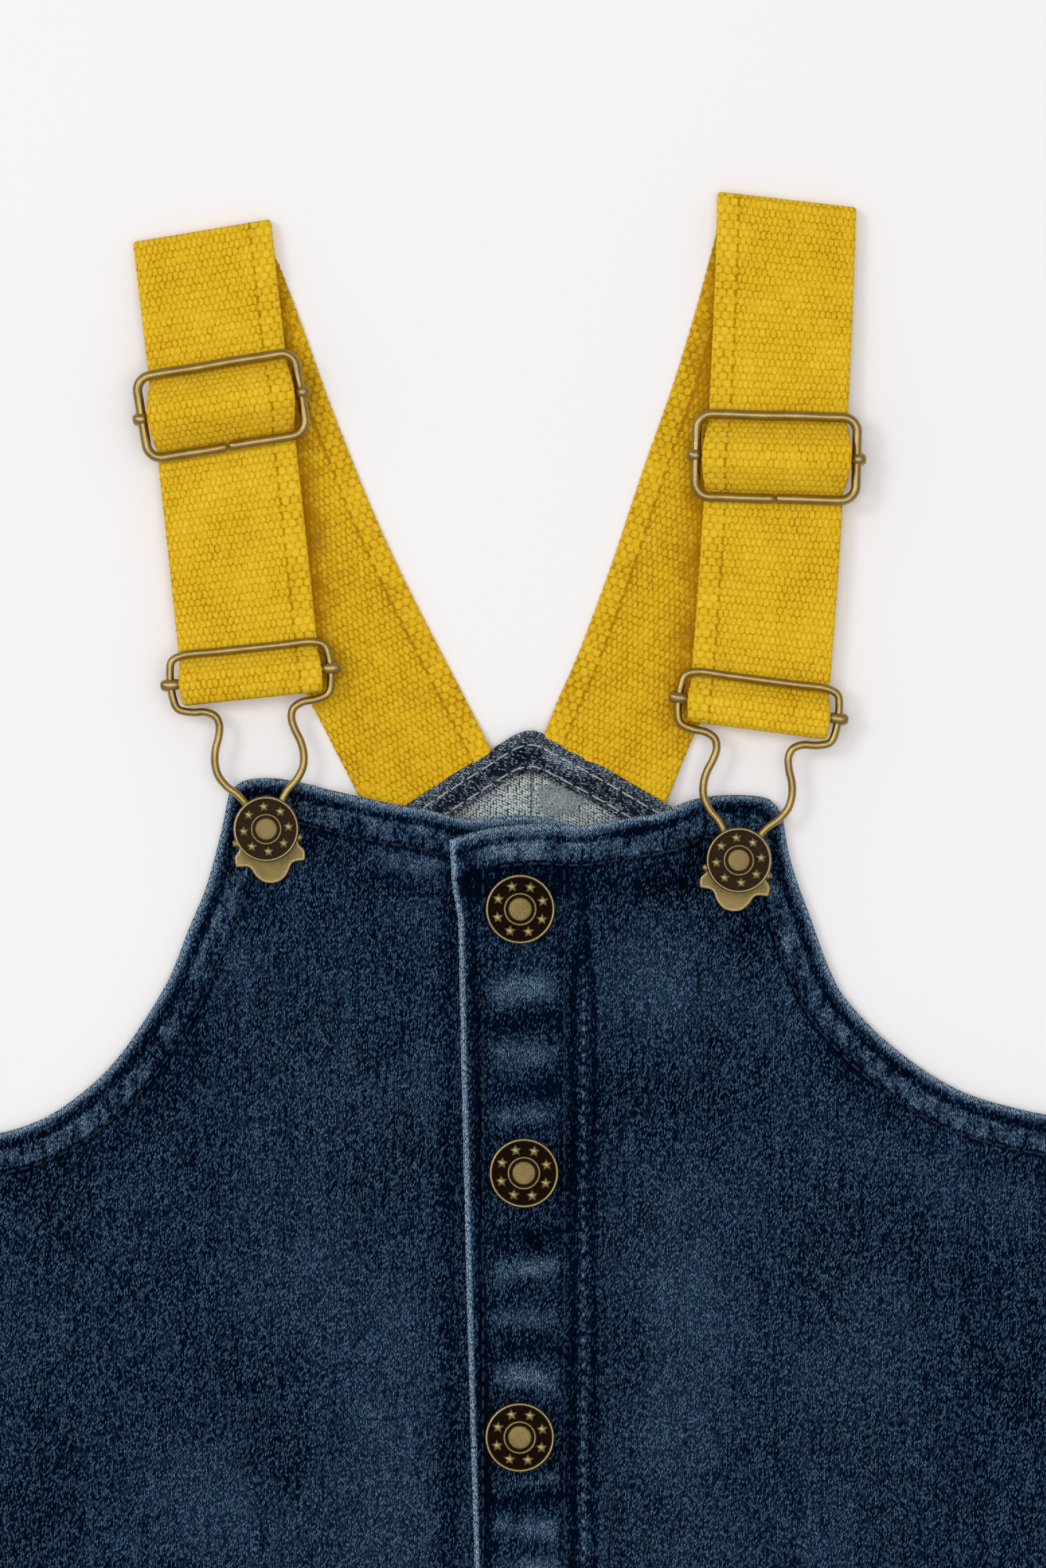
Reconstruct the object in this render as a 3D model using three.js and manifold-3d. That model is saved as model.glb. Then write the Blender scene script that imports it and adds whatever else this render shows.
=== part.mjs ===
// Kids dungarees laid flat, front up: denim panels, yellow webbing straps, wire sliders and
// buckles, and riveted jeans buttons. Millimetres, +X to the right, +Y to the shoulders, +Z up.
import * as THREE from "three";
import { mergeVertices } from "three/addons/utils/BufferGeometryUtils.js";
import Module from "manifold-3d";

const wasm = await Module();
wasm.setup();

// Cloth
const seamGap = 0.3;
const denimThickness = 1.2;
const facingThickness = 1.0;
const strapWidth = 30;
const strapThickness = 1.4;
const tableClearance = 0.4;

// Heights along the body
const hemY = -334;
const crotchY = -84;
const placketEndY = -20;
const placketTopGap = 1.2;
const panelColumns = 11;
const neckStartY = 172;

// Widths along the body
const legGapAtHem = 17;
const underlapEdgeX = 10;
const placketInnerEdgeX = 13;
const peakX = 2.2;
const peakY = 217.8;

// Side seam of both halves, from the hem to just under the arm
const sideSeam = [
  { y: hemY, side: 137 },
  { y: -290, side: 139.6 },
  { y: -240, side: 142.6 },
  { y: -180, side: 146.4 },
  { y: -130, side: 148.4 },
  { y: crotchY, side: 148 },
  { y: -40, side: 144.5 },
  { y: 0, side: 140 },
  { y: 45, side: 133.8 },
  { y: 90, side: 128.4 },
];

// Front armholes, from the underarm to the bib corner
const frontArmhole = {
  left: [
    { y: 129.6, side: 125 },
    { y: 130.7, side: 113.1 },
    { y: 134.2, side: 102.9 },
    { y: 140.5, side: 93.9 },
    { y: 146.8, side: 87.6 },
    { y: 155.6, side: 81.4 },
    { y: 164.1, side: 76.4 },
    { y: 174.7, side: 72.2 },
    { y: 184.1, side: 68.6 },
    { y: 196.3, side: 65.6 },
    { y: 207.5, side: 63.4 },
  ],
  right: [
    { y: 133.6, side: 125 },
    { y: 134.7, side: 113.1 },
    { y: 138.8, side: 97.1 },
    { y: 142.0, side: 90.3 },
    { y: 146.4, side: 83.6 },
    { y: 152.0, side: 76.8 },
    { y: 157.3, side: 71.7 },
    { y: 161.7, side: 68.3 },
    { y: 170.0, side: 64.6 },
    { y: 178.1, side: 61.9 },
    { y: 186.6, side: 59.3 },
    { y: 195.1, side: 57.3 },
    { y: 203.7, side: 56.1 },
  ],
};

// Back armholes, from the underarm to the foot of the back peak
const backArmhole = {
  left: [
    { y: 129.2, side: 124 },
    { y: 131.0, side: 109 },
    { y: 137.0, side: 94 },
    { y: 145.5, side: 78 },
    { y: 156.0, side: 64 },
    { y: 167.0, side: 54 },
    { y: 178.0, side: 46 },
    { y: 187.0, side: 41 },
    { y: 194.6, side: 37.5 },
  ],
  right: [
    { y: 133.2, side: 124 },
    { y: 134.2, side: 108 },
    { y: 139.0, side: 90 },
    { y: 147.0, side: 74 },
    { y: 157.0, side: 60 },
    { y: 168.0, side: 50 },
    { y: 180.0, side: 42 },
    { y: 190.0, side: 38 },
    { y: 198.4, side: 35 },
  ],
};

// Front necklines, from the centre overlap out to the bib corner
const neckline = {
  left: [
    { x: 10, y: 199.0 },
    { x: 0, y: 199.2 },
    { x: -11.4, y: 198.6 },
    { x: -21.5, y: 200.8 },
    { x: -28.3, y: 201.9 },
    { x: -35.1, y: 203.4 },
    { x: -41.9, y: 204.9 },
    { x: -47.8, y: 206.4 },
    { x: -54.6, y: 207.4 },
    { x: -60.5, y: 206.7 },
    { x: -63.4, y: 204.4 },
  ],
  right: [
    { x: -15.8, y: 194.0 },
    { x: -11.4, y: 195.6 },
    { x: -4.6, y: 197.0 },
    { x: 3.9, y: 197.6 },
    { x: 12.4, y: 197.2 },
    { x: 22.5, y: 198.8 },
    { x: 29.3, y: 199.9 },
    { x: 36.1, y: 202.6 },
    { x: 42.0, y: 203.6 },
    { x: 48.0, y: 203.7 },
    { x: 53.4, y: 202.7 },
    { x: 56.1, y: 199.3 },
  ],
};

// Edge of the overlap that carries the buttonholes, from the placket's end to the neck
const overlapEdge = [
  { y: placketEndY, x: -9.6 },
  { y: 36, x: -10.4 },
  { y: 90, x: -12 },
  { y: 150, x: -13.4 },
  { y: 178, x: -14 },
  { y: 188, x: -15.2 },
  { y: 204, x: -15.8 },
];

// Back peak: the facing inside it, and where the strap ends lift what lies over them
const facing = { width: 7.8, leftEnd: 35, rightEnd: 33, rise: 0.56 };

// Rise of the front where it lies over the button tacks and over the strap ends
const placketRise = { height: 1.3, halfWidth: 16, fall: 14, startY: -44, fullY: -26 };
const neckRise = { height: 3.25, left: -37, right: 34.5, fall: 4.2, depth: 5.5 };

// Buttons
const placketButtons = [
  { x: -0.6, y: 179.2 },
  { x: 0.2, y: 122.5 },
  { x: -0.7, y: 65.7 },
  { x: -0.2, y: 9.0 },
];
const placketHeadRadius = 7.5;
const bibHeadRadius = 7.05;
const headHeight = 2.7;
const postRadius = 1.9;
const holeRadius = 2.25;
const tackRadius = 4.4;
const tackThickness = 0.8;

// Slider and buckle wires
const sliderWire = { radius: 1.25, halfWidth: 17.3, halfHeight: 8.95, corner: 3.2, endGap: 0.3, z: 6.85 };
const buckleWire = { radius: 0.9, topZ: 6.1, headZ: 5.2 };
const barRadius = 1.1;
const buckleBarY = 33;
const plateThickness = 0.7;

// Right half of the bent buckle wire, from the middle of its top to its end beside the button
const buckleWireBend = [
  { x: 0, y: 39.1 },
  { x: 7, y: 39.1 },
  { x: 14.3, y: 39.05 },
  { x: 16.5, y: 38.1 },
  { x: 17.2, y: 35.6 },
  { x: 17.1, y: 30 },
  { x: 16.3, y: 27.7 },
  { x: 13.6, y: 26.7 },
  { x: 10.5, y: 26.4 },
  { x: 8.5, y: 25.3 },
  { x: 7.8, y: 23.4 },
  { x: 8.2, y: 20.9 },
  { x: 9.2, y: 18.1 },
  { x: 9.6, y: 15.4 },
  { x: 9.2, y: 12.6 },
  { x: 7.6, y: 10 },
  { x: 5.2, y: 7.7 },
  { x: 3.6, y: 5 },
  { x: 3.3, y: 1.6 },
  { x: 3.9, y: -1 },
  { x: 5.6, y: -2.3 },
  { x: 7.6, y: -2.5 },
];

// Right half of the pressed plate under the bib button, from its tongue to its top
const plateEdge = [
  { x: 0, y: -11.9 },
  { x: 1.6, y: -11.6 },
  { x: 3.2, y: -10.6 },
  { x: 4.3, y: -9.2 },
  { x: 4.9, y: -8.1 },
  { x: 7.5, y: -7.7 },
  { x: 7.9, y: -5.6 },
  { x: 7.0, y: -4.4 },
  { x: 5.2, y: -3.7 },
  { x: 4.9, y: 2.6 },
  { x: 0, y: 4.4 },
];

// Each strap: its back run from the sewn end up to the fold, its fold, and its hardware.
// Turn is the angle of the strap's width in degrees, and bow is the sideways bend of the front run.
const straps = {
  left: {
    backRun: [
      { x: -16.4, y: 199.1, z: 2.25, turn: 27 },
      { x: -20.2, y: 206.6, z: 2.25, turn: 27 },
      { x: -24.0, y: 214.1, z: 0.85, turn: 27 },
      { x: -27.3, y: 220.5, z: 0.75, turn: 26.5 },
      { x: -42.5, y: 250.7, z: 0.75, turn: 24 },
      { x: -53.1, y: 276.6, z: 0.75, turn: 21 },
      { x: -62.2, y: 302.4, z: 0.75, turn: 18 },
      { x: -66.6, y: 315.8, z: 0.75, turn: 14 },
    ],
    foldCentre: { x: -69.1, y: 323.6 },
    foldTurn: 9.5,
    head: { x: -55.2, y: 196.4 },
    buckleTurn: 6,
    sliderDistance: 36.3,
    sliderTurn: 9.6,
    bow: 0.2,
  },
  right: {
    backRun: [
      { x: 15.0, y: 202.4, z: 2.25, turn: -21 },
      { x: 18.6, y: 211.6, z: 2.25, turn: -21 },
      { x: 21.9, y: 219.6, z: 0.85, turn: -21 },
      { x: 25.5, y: 227.7, z: 0.75, turn: -21 },
      { x: 33.3, y: 248.6, z: 0.75, turn: -19.5 },
      { x: 40.1, y: 269.0, z: 0.75, turn: -18 },
      { x: 46.6, y: 288.4, z: 0.75, turn: -16 },
      { x: 51.6, y: 306.0, z: 0.75, turn: -13 },
      { x: 55.3, y: 322.0, z: 0.75, turn: -9.5 },
    ],
    foldCentre: { x: 56.9, y: 330.3 },
    foldTurn: -6.6,
    head: { x: 46.4, y: 189.7 },
    buckleTurn: -7.5,
    sliderDistance: 53.9,
    sliderTurn: -1.5,
    bow: 0.7,
  },
};

const denimMaterial = new THREE.MeshStandardMaterial({ color: 0x17273a, roughness: 0.9, metalness: 0 });
const facingMaterial = new THREE.MeshStandardMaterial({ color: 0x2d3643, roughness: 0.92, metalness: 0 });
const webbingMaterial = new THREE.MeshStandardMaterial({ color: 0xd6ab24, roughness: 0.88, metalness: 0 });
const brassMaterial = new THREE.MeshStandardMaterial({ color: 0x8a7648, roughness: 0.38, metalness: 1 });
const radians = Math.PI / 180;

function smoothStep(low, high, value) {
  const t = Math.min(Math.max((value - low) / (high - low), 0), 1);
  return t * t * (3 - 2 * t);
}

function plateau(low, high, fall, value) {
  return smoothStep(low - fall, low, value) * (1 - smoothStep(high, high + fall, value));
}

// Straight-line reading of a table: the value of column `to` where column `from` is `value`.
function readTable(table, from, to, value) {
  const rows = [...table].sort((a, b) => a[from] - b[from]);
  const clamped = Math.min(Math.max(value, rows[0][from]), rows.at(-1)[from]);
  const upper = Math.max(rows.findIndex((row) => row[from] >= clamped), 1);
  const [a, b] = [rows[upper - 1], rows[upper]];
  return a[to] + ((b[to] - a[to]) * (clamped - a[from])) / (b[from] - a[from]);
}

// A closed wall: a box of columns by rows whose points are moved to place(u, v, isOuter).
function wall(columns, rows, place) {
  const geometry = new THREE.BoxGeometry(1, 1, 1, columns, rows, 1);
  const points = geometry.attributes.position;
  for (let i = 0; i < points.count; i += 1) {
    const moved = place(points.getX(i) + 0.5, points.getY(i) + 0.5, points.getZ(i) > 0);
    points.setXYZ(i, moved.x, moved.y, moved.z);
  }
  return cleanGeometry(geometry);
}

// Only positions, with shared points merged and faces of no area left out.
function cleanGeometry(geometry) {
  geometry.deleteAttribute("normal");
  geometry.deleteAttribute("uv");
  const merged = mergeVertices(geometry, 1e-4);
  const kept = [];
  for (let i = 0; i < merged.index.count; i += 3) {
    const corners = [0, 1, 2].map((k) => merged.index.getX(i + k));
    if (new Set(corners).size === 3) {
      kept.push(...corners);
    }
  }
  merged.setIndex(kept);
  return merged;
}

function toSolid(geometry) {
  const vertProperties = new Float32Array(geometry.attributes.position.array);
  const triVerts = new Uint32Array(geometry.index.array);
  return new wasm.Manifold(new wasm.Mesh({ numProp: 3, vertProperties, triVerts }));
}

function toGeometry(solid) {
  const { vertProperties, triVerts } = solid.getMesh();
  const geometry = new THREE.BufferGeometry();
  geometry.setAttribute("position", new THREE.BufferAttribute(vertProperties, 3));
  geometry.setIndex(new THREE.BufferAttribute(triVerts, 1));
  return geometry;
}

function cutAll(geometry, cutters) {
  const cut = cutters.reduce((solid, cutter) => solid.subtract(toSolid(cutter)), toSolid(geometry));
  return toGeometry(cut);
}

// Outline of the garment

function slopeLine(x) {
  return peakY - facing.rise * Math.abs(x - peakX);
}

function innerLeg(y) {
  const down = Math.min(Math.max((crotchY - y) / (crotchY - hemY), 0), 1);
  return seamGap / 2 + (legGapAtHem - seamGap / 2) * down ** 0.85;
}

// Points of an outer edge are on a smooth curve through its sections, about `step` apart, and
// about `fineStep` apart where the neck begins.
function smoothEdge(sections, step, fineStep) {
  const curve = new THREE.CatmullRomCurve3(
    sections.map((row) => new THREE.Vector3(row.side, row.y, 0)),
    false,
    "centripetal",
  );
  const points = [];
  for (let i = 0; i < sections.length - 1; i += 1) {
    const length = Math.hypot(
      sections[i + 1].side - sections[i].side,
      sections[i + 1].y - sections[i].y,
    );
    const wanted = sections[i].y > neckStartY ? fineStep : step;
    const parts = Math.max(1, Math.round(length / wanted));
    for (let k = 0; k < parts; k += 1) {
      points.push(curve.getPoint((i + k / parts) / (sections.length - 1)));
    }
  }
  points.push(curve.getPoint(1));
  return points;
}

// Heights of the layers

function frontRest(x, y) {
  const overTacks =
    placketRise.height *
    (1 - smoothStep(placketRise.halfWidth, placketRise.halfWidth + placketRise.fall, Math.abs(x))) *
    smoothStep(placketRise.startY, placketRise.fullY, y);
  const facingFoot = slopeLine(x) - facing.width * Math.hypot(1, facing.rise) - 2;
  const overStrapEnds =
    neckRise.height *
    plateau(neckRise.left, neckRise.right, neckRise.fall, x) *
    smoothStep(facingFoot - neckRise.depth, facingFoot, y);
  return denimThickness + seamGap + Math.max(overTacks, overStrapEnds);
}

function overlapRest(x, y) {
  const layers = denimThickness + facingThickness + 2 * seamGap;
  const across = 1 - smoothStep(placketInnerEdgeX + 1.5, placketInnerEdgeX + 14, x);
  return frontRest(x, y) + layers * across * smoothStep(placketRise.startY, placketRise.fullY, y);
}

// Front panels

function frontInnerEdge(side, y) {
  const overlapped = smoothStep(placketEndY - 4, placketEndY, y);
  if (side === "left") {
    return THREE.MathUtils.lerp(-innerLeg(y), underlapEdgeX, overlapped);
  }
  return THREE.MathUtils.lerp(innerLeg(y), readTable(overlapEdge, "y", "x", y), overlapped);
}

// Columns of a front panel: close together over the overlap and its slope, wide out to the side.
function columnPlace(inner, outer, u) {
  const overlapEnd = Math.max(placketInnerEdgeX + 2, inner + 8);
  const slopeEnd = overlapEnd + 14;
  const k = u * panelColumns;
  if (k <= 3) {
    return THREE.MathUtils.lerp(inner, overlapEnd, k / 3);
  }
  if (k <= 6) {
    return THREE.MathUtils.lerp(overlapEnd, slopeEnd, (k - 3) / 3);
  }
  return THREE.MathUtils.lerp(slopeEnd, outer, (k - 6) / (panelColumns - 6));
}

function frontPanel(side) {
  const sign = side === "left" ? -1 : 1;
  const cornerY = frontArmhole[side].at(-1).y;
  const stations = smoothEdge([...sideSeam, ...frontArmhole[side]], 13, 3.5);
  const restOf = side === "left" ? frontRest : overlapRest;
  const place = (u, v, isOuter) => {
    const station = stations[Math.round(v * (stations.length - 1))];
    const inner = sign * frontInnerEdge(side, station.y);
    const x = sign * columnPlace(inner, station.x, side === "left" ? 1 - u : u);
    const drop = cornerY - readTable(neckline[side], "x", "y", x);
    const y = station.y - drop * smoothStep(neckStartY, cornerY, station.y);
    return new THREE.Vector3(x, y, restOf(x, y) + (isOuter ? denimThickness : 0));
  };
  return wall(panelColumns, stations.length - 1, place);
}

function placketBand() {
  const rows = 30;
  const columns = 3;
  const edgeInset = 0.8;
  const place = (u, v, isOuter) => {
    const rowY = THREE.MathUtils.lerp(placketEndY + 1, peakY, v);
    const left = readTable(overlapEdge, "y", "x", rowY) + edgeInset;
    const x = THREE.MathUtils.lerp(left, placketInnerEdgeX, u);
    const top = readTable(neckline.right, "x", "y", x) - placketTopGap;
    const y = THREE.MathUtils.lerp(placketEndY + 1, top, v);
    const rest = frontRest(x, y) + denimThickness + seamGap;
    return new THREE.Vector3(x, y, rest + (isOuter ? facingThickness : 0));
  };
  return wall(columns, rows, place);
}

// Back panels and the facing inside the peak

function backPanel(side) {
  const sign = side === "left" ? -1 : 1;
  const peakFlat = 3;
  const seamInset = 1;
  const seam = sideSeam.map((row) => ({ y: row.y, side: row.side - seamInset }));
  const stations = smoothEdge([...seam, ...backArmhole[side]], 16, 8);
  const foot = backArmhole[side].at(-1);
  const footFromPeak = foot.side - sign * peakX;
  const slopeRows = 5;
  for (let i = 1; i <= slopeRows; i += 1) {
    const fromPeak = THREE.MathUtils.lerp(footFromPeak, peakFlat, i / slopeRows);
    const edgeX = fromPeak + sign * peakX;
    const rounding = i === slopeRows ? 0.6 : 0;
    stations.push(new THREE.Vector3(edgeX, slopeLine(sign * edgeX) - rounding, 0));
  }
  stations.push(new THREE.Vector3(peakFlat / 2 + sign * peakX, peakY - 1.1, 0));
  const place = (u, v, isOuter) => {
    const station = stations[Math.round(v * (stations.length - 1))];
    const centre = peakX * smoothStep(150, peakY, station.y) + (sign * seamGap) / 2;
    const seamX = station.y < crotchY ? sign * innerLeg(station.y) : centre;
    const across = side === "left" ? 1 - u : u;
    const x = THREE.MathUtils.lerp(seamX, sign * station.x, across);
    return new THREE.Vector3(x, station.y, isOuter ? denimThickness : 0);
  };
  return wall(1, stations.length - 1, place);
}

function backFacing() {
  const columns = 18;
  const edgeInset = 0.6;
  const rest = denimThickness + strapThickness + 2 * seamGap;
  const place = (u, v, isOuter) => {
    const x = THREE.MathUtils.lerp(-facing.leftEnd, facing.rightEnd, u);
    const fromPeak = Math.abs(x - peakX);
    const rounded = 1.2 * (1 - smoothStep(0, 5, fromPeak));
    const top = slopeLine(x) - edgeInset - rounded;
    const foot = top - facing.width * Math.hypot(1, facing.rise) + edgeInset + rounded * 0.4;
    return new THREE.Vector3(x, THREE.MathUtils.lerp(foot, top, v), rest + (isOuter ? facingThickness : 0));
  };
  return wall(columns, 2, place);
}

// Straps

// Path of a belt in a plane round a row of rounds. A round is passed anticlockwise where its
// radius is positive and clockwise where it is negative, and a round of no radius is an end.
function beltPath(rounds, arcStep, lineStep) {
  const headings = [];
  for (let i = 0; i < rounds.length - 1; i += 1) {
    const [a, b] = [rounds[i], rounds[i + 1]];
    const span = Math.hypot(b.s - a.s, b.z - a.z);
    headings.push(Math.atan2(b.z - a.z, b.s - a.s) - Math.asin((b.r - a.r) / span));
  }
  const onRound = (round, heading) => ({
    s: round.s + round.r * Math.sin(heading),
    z: round.z - round.r * Math.cos(heading),
    heading,
  });
  const path = [onRound(rounds[0], headings[0])];
  for (let i = 1; i < rounds.length; i += 1) {
    const arrival = onRound(rounds[i], headings[i - 1]);
    const from = path.at(-1);
    const straights = Math.max(1, Math.round(Math.hypot(arrival.s - from.s, arrival.z - from.z) / lineStep));
    for (let k = 1; k <= straights; k += 1) {
      const t = k / straights;
      path.push({
        s: THREE.MathUtils.lerp(from.s, arrival.s, t),
        z: THREE.MathUtils.lerp(from.z, arrival.z, t),
        heading: headings[i - 1],
      });
    }
    if (i < rounds.length - 1) {
      const turned = (headings[i] - headings[i - 1]) / (2 * Math.PI);
      const sweep = 2 * Math.PI * (turned - (rounds[i].r > 0 ? Math.floor(turned) : Math.ceil(turned)));
      const arcs = Math.max(1, Math.ceil(Math.abs(sweep) / arcStep));
      for (let k = 1; k <= arcs; k += 1) {
        path.push(onRound(rounds[i], headings[i - 1] + (sweep * k) / arcs));
      }
    }
  }
  return path;
}

function local(place, turn, x, y) {
  const angle = turn * radians;
  return {
    x: place.x + x * Math.cos(angle) - y * Math.sin(angle),
    y: place.y + x * Math.sin(angle) + y * Math.cos(angle),
  };
}

// The front run goes straight from the fold to the buckle's bar, but for its bow.
function frontRun(strap) {
  const bar = local(strap.head, strap.buckleTurn, 0, buckleBarY);
  const fold = strap.foldCentre;
  const length = Math.hypot(bar.x - fold.x, bar.y - fold.y);
  const along = { x: (bar.x - fold.x) / length, y: (bar.y - fold.y) / length };
  const turns = [
    { s: -5, turn: strap.foldTurn },
    { s: 0, turn: strap.foldTurn },
    { s: strap.sliderDistance - 9, turn: strap.sliderTurn },
    { s: strap.sliderDistance + 9, turn: strap.sliderTurn },
    { s: length - 7, turn: strap.buckleTurn },
    { s: length + 9, turn: strap.buckleTurn },
  ];
  const at = (s) => {
    const t = Math.min(Math.max(s / length, 0), 1);
    const aside = strap.bow * 4 * t * (1 - t);
    return {
      x: fold.x + along.x * s - along.y * aside,
      y: fold.y + along.y * s + along.x * aside,
      turn: readTable(turns, "s", "turn", s),
    };
  };
  return { length, at };
}

function strapSections(strap) {
  const run = frontRun(strap);
  const half = strapThickness / 2;
  const foldRadius = 1.3;
  const backRunZ = strap.backRun.at(-1).z;
  const underSliderWire = sliderWire.radius + seamGap + half + 0.1;
  const roundBar = barRadius + seamGap + half;
  const overBar = roundBar + strapThickness + seamGap;
  const underBuckleWire = buckleWire.radius + seamGap + half;
  const returnZ = strapThickness * 1.5 + seamGap + 0.05;
  const loopEnd = { s: 3.2, z: -0.8 };
  const slider = strap.sliderDistance;
  const bar = run.length;
  const topWire = bar - (buckleWireBend[0].y - buckleBarY);
  const path = beltPath(
    [
      { s: 7, z: backRunZ, r: 0 },
      { s: 0, z: backRunZ + foldRadius, r: -foldRadius },
      { s: slider - sliderWire.halfHeight, z: sliderWire.z, r: underSliderWire },
      { s: slider, z: sliderWire.z, r: -overBar },
      { s: slider + sliderWire.halfHeight, z: sliderWire.z, r: underSliderWire },
      { s: topWire, z: buckleWire.topZ, r: underBuckleWire },
      { s: bar, z: buckleBarZ(), r: -(roundBar + 0.1) },
      { s: bar + 2.3, z: buckleBarZ() - 0.1, r: -1.8 },
      { s: topWire, z: buckleWire.topZ, r: -(buckleWire.topZ - returnZ) },
      { s: slider + sliderWire.halfHeight, z: sliderWire.z, r: -(sliderWire.z - returnZ) },
      { s: slider, z: sliderWire.z, r: -roundBar },
      { s: slider + loopEnd.s, z: sliderWire.z + loopEnd.z, r: 0 },
    ],
    24 * radians,
    11,
  );
  const rows = strap.backRun;
  const spans = rows.length - 1;
  const curve = new THREE.CatmullRomCurve3(rows.map((row) => new THREE.Vector3(row.x, row.y, row.z)));
  const sections = [];
  for (let i = 0; i <= spans * 2; i += 1) {
    const row = Math.min(Math.floor(i / 2), spans - 1);
    const turn = THREE.MathUtils.lerp(rows[row].turn, rows[row + 1].turn, i / 2 - row);
    sections.push({ centre: curve.getPoint(i / 2 / spans), turn });
  }
  for (const point of path.slice(1)) {
    const { x, y, turn } = run.at(point.s);
    sections.push({ centre: new THREE.Vector3(x, y, point.z), turn });
  }
  return sections;
}

// A flat ribbon through its sections: each has a centre and the turn of its width.
function ribbon(sections, width, thickness) {
  const tangents = sections.map((section, i) => {
    const before = sections[Math.max(i - 1, 0)].centre;
    const after = sections[Math.min(i + 1, sections.length - 1)].centre;
    const incoming = section.centre.clone().sub(before).normalize();
    const outgoing = after.clone().sub(section.centre).normalize();
    return incoming.add(outgoing).normalize();
  });
  const place = (u, v, isOuter) => {
    const i = Math.round(v * (sections.length - 1));
    const angle = sections[i].turn * radians;
    const across = new THREE.Vector3(Math.cos(angle), Math.sin(angle), 0);
    const normal = across.clone().cross(tangents[i]).normalize();
    return sections[i].centre
      .clone()
      .addScaledVector(across, (u - 0.5) * width)
      .addScaledVector(normal, (isOuter ? 0.5 : -0.5) * thickness);
  };
  return wall(1, sections.length - 1, place);
}

// Wires, bars and plates

function wire(points, radius, steps) {
  const section = new THREE.Shape().absarc(0, 0, radius, 0, 2 * Math.PI);
  const path = new THREE.CatmullRomCurve3(points, false, "centripetal");
  return cleanGeometry(new THREE.ExtrudeGeometry(section, { steps, curveSegments: 4, extrudePath: path }));
}

function buckleZ(y) {
  const t = Math.min(Math.max(y / buckleWireBend[0].y, 0), 1);
  return THREE.MathUtils.lerp(buckleWire.headZ, buckleWire.topZ, t);
}

function buckleBarZ() {
  return buckleZ(buckleBarY);
}

// Moves a geometry from a strap's own axes to its place and turn.
function seat(geometry, place, turn) {
  geometry.rotateZ(turn * radians);
  geometry.translate(place.x, place.y, place.z ?? 0);
  return geometry;
}

function buckleLoop(radius) {
  const rightHalf = buckleWireBend.map((row) => new THREE.Vector3(row.x, row.y, buckleZ(row.y)));
  const leftHalf = buckleWireBend.slice(1).map((row) => new THREE.Vector3(-row.x, row.y, buckleZ(row.y)));
  return wire([...leftHalf.reverse(), ...rightHalf], radius, 62);
}

function sliderLoop(radius) {
  const { halfWidth, halfHeight, corner, endGap } = sliderWire;
  const rightHalf = [new THREE.Vector3(endGap / 2, -halfHeight, 0), new THREE.Vector3(7, -halfHeight, 0)];
  const arcSteps = 4;
  for (const [sign, start] of [[-1, -90], [1, 0]]) {
    for (let i = 0; i <= arcSteps; i += 1) {
      const angle = (start + (90 * i) / arcSteps) * radians;
      rightHalf.push(
        new THREE.Vector3(
          halfWidth - corner + corner * Math.cos(angle),
          sign * (halfHeight - corner) + corner * Math.sin(angle),
          0,
        ),
      );
    }
  }
  rightHalf.push(new THREE.Vector3(7, halfHeight, 0));
  const leftHalf = rightHalf.map((point) => new THREE.Vector3(-point.x, point.y, 0)).reverse();
  return wire([...rightHalf, ...leftHalf], radius, 44);
}

// A cross bar with a collar at each end that is closed round the side wire.
function crossBar(length, collar, wireRadius, wireX) {
  const clearance = 0.2;
  const profile = [
    [0, -length / 2],
    [collar.radius, -length / 2],
    [collar.radius, -length / 2 + collar.length],
    [barRadius, -length / 2 + collar.length],
    [barRadius, length / 2 - collar.length],
    [collar.radius, length / 2 - collar.length],
    [collar.radius, length / 2],
    [0, length / 2],
  ].map(([r, along]) => new THREE.Vector2(r, along));
  const bar = cleanGeometry(new THREE.LatheGeometry(profile, 12));
  bar.rotateZ(-Math.PI / 2);
  const cutters = [-wireX, wireX].map((x) => {
    const boreRadius = wireRadius + clearance;
    const bore = cleanGeometry(new THREE.CylinderGeometry(boreRadius, boreRadius, 12, 12));
    bore.translate(x, 0, 0);
    return bore;
  });
  return cutAll(bar, cutters);
}

function bucklePlate(bottomZ) {
  const rightHalf = plateEdge.map((row) => new THREE.Vector2(row.x, row.y));
  const leftHalf = plateEdge.slice(1, -1).map((row) => new THREE.Vector2(-row.x, row.y));
  const outline = new THREE.Shape([...rightHalf, ...leftHalf.reverse()]);
  outline.holes.push(new THREE.Path().absarc(0, 0, holeRadius, 0, 2 * Math.PI, true));
  const pressing = { depth: plateThickness, bevelEnabled: false, curveSegments: 8 };
  const plate = new THREE.ExtrudeGeometry(outline, pressing);
  plate.translate(0, 0, bottomZ);
  return cleanGeometry(plate);
}

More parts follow.
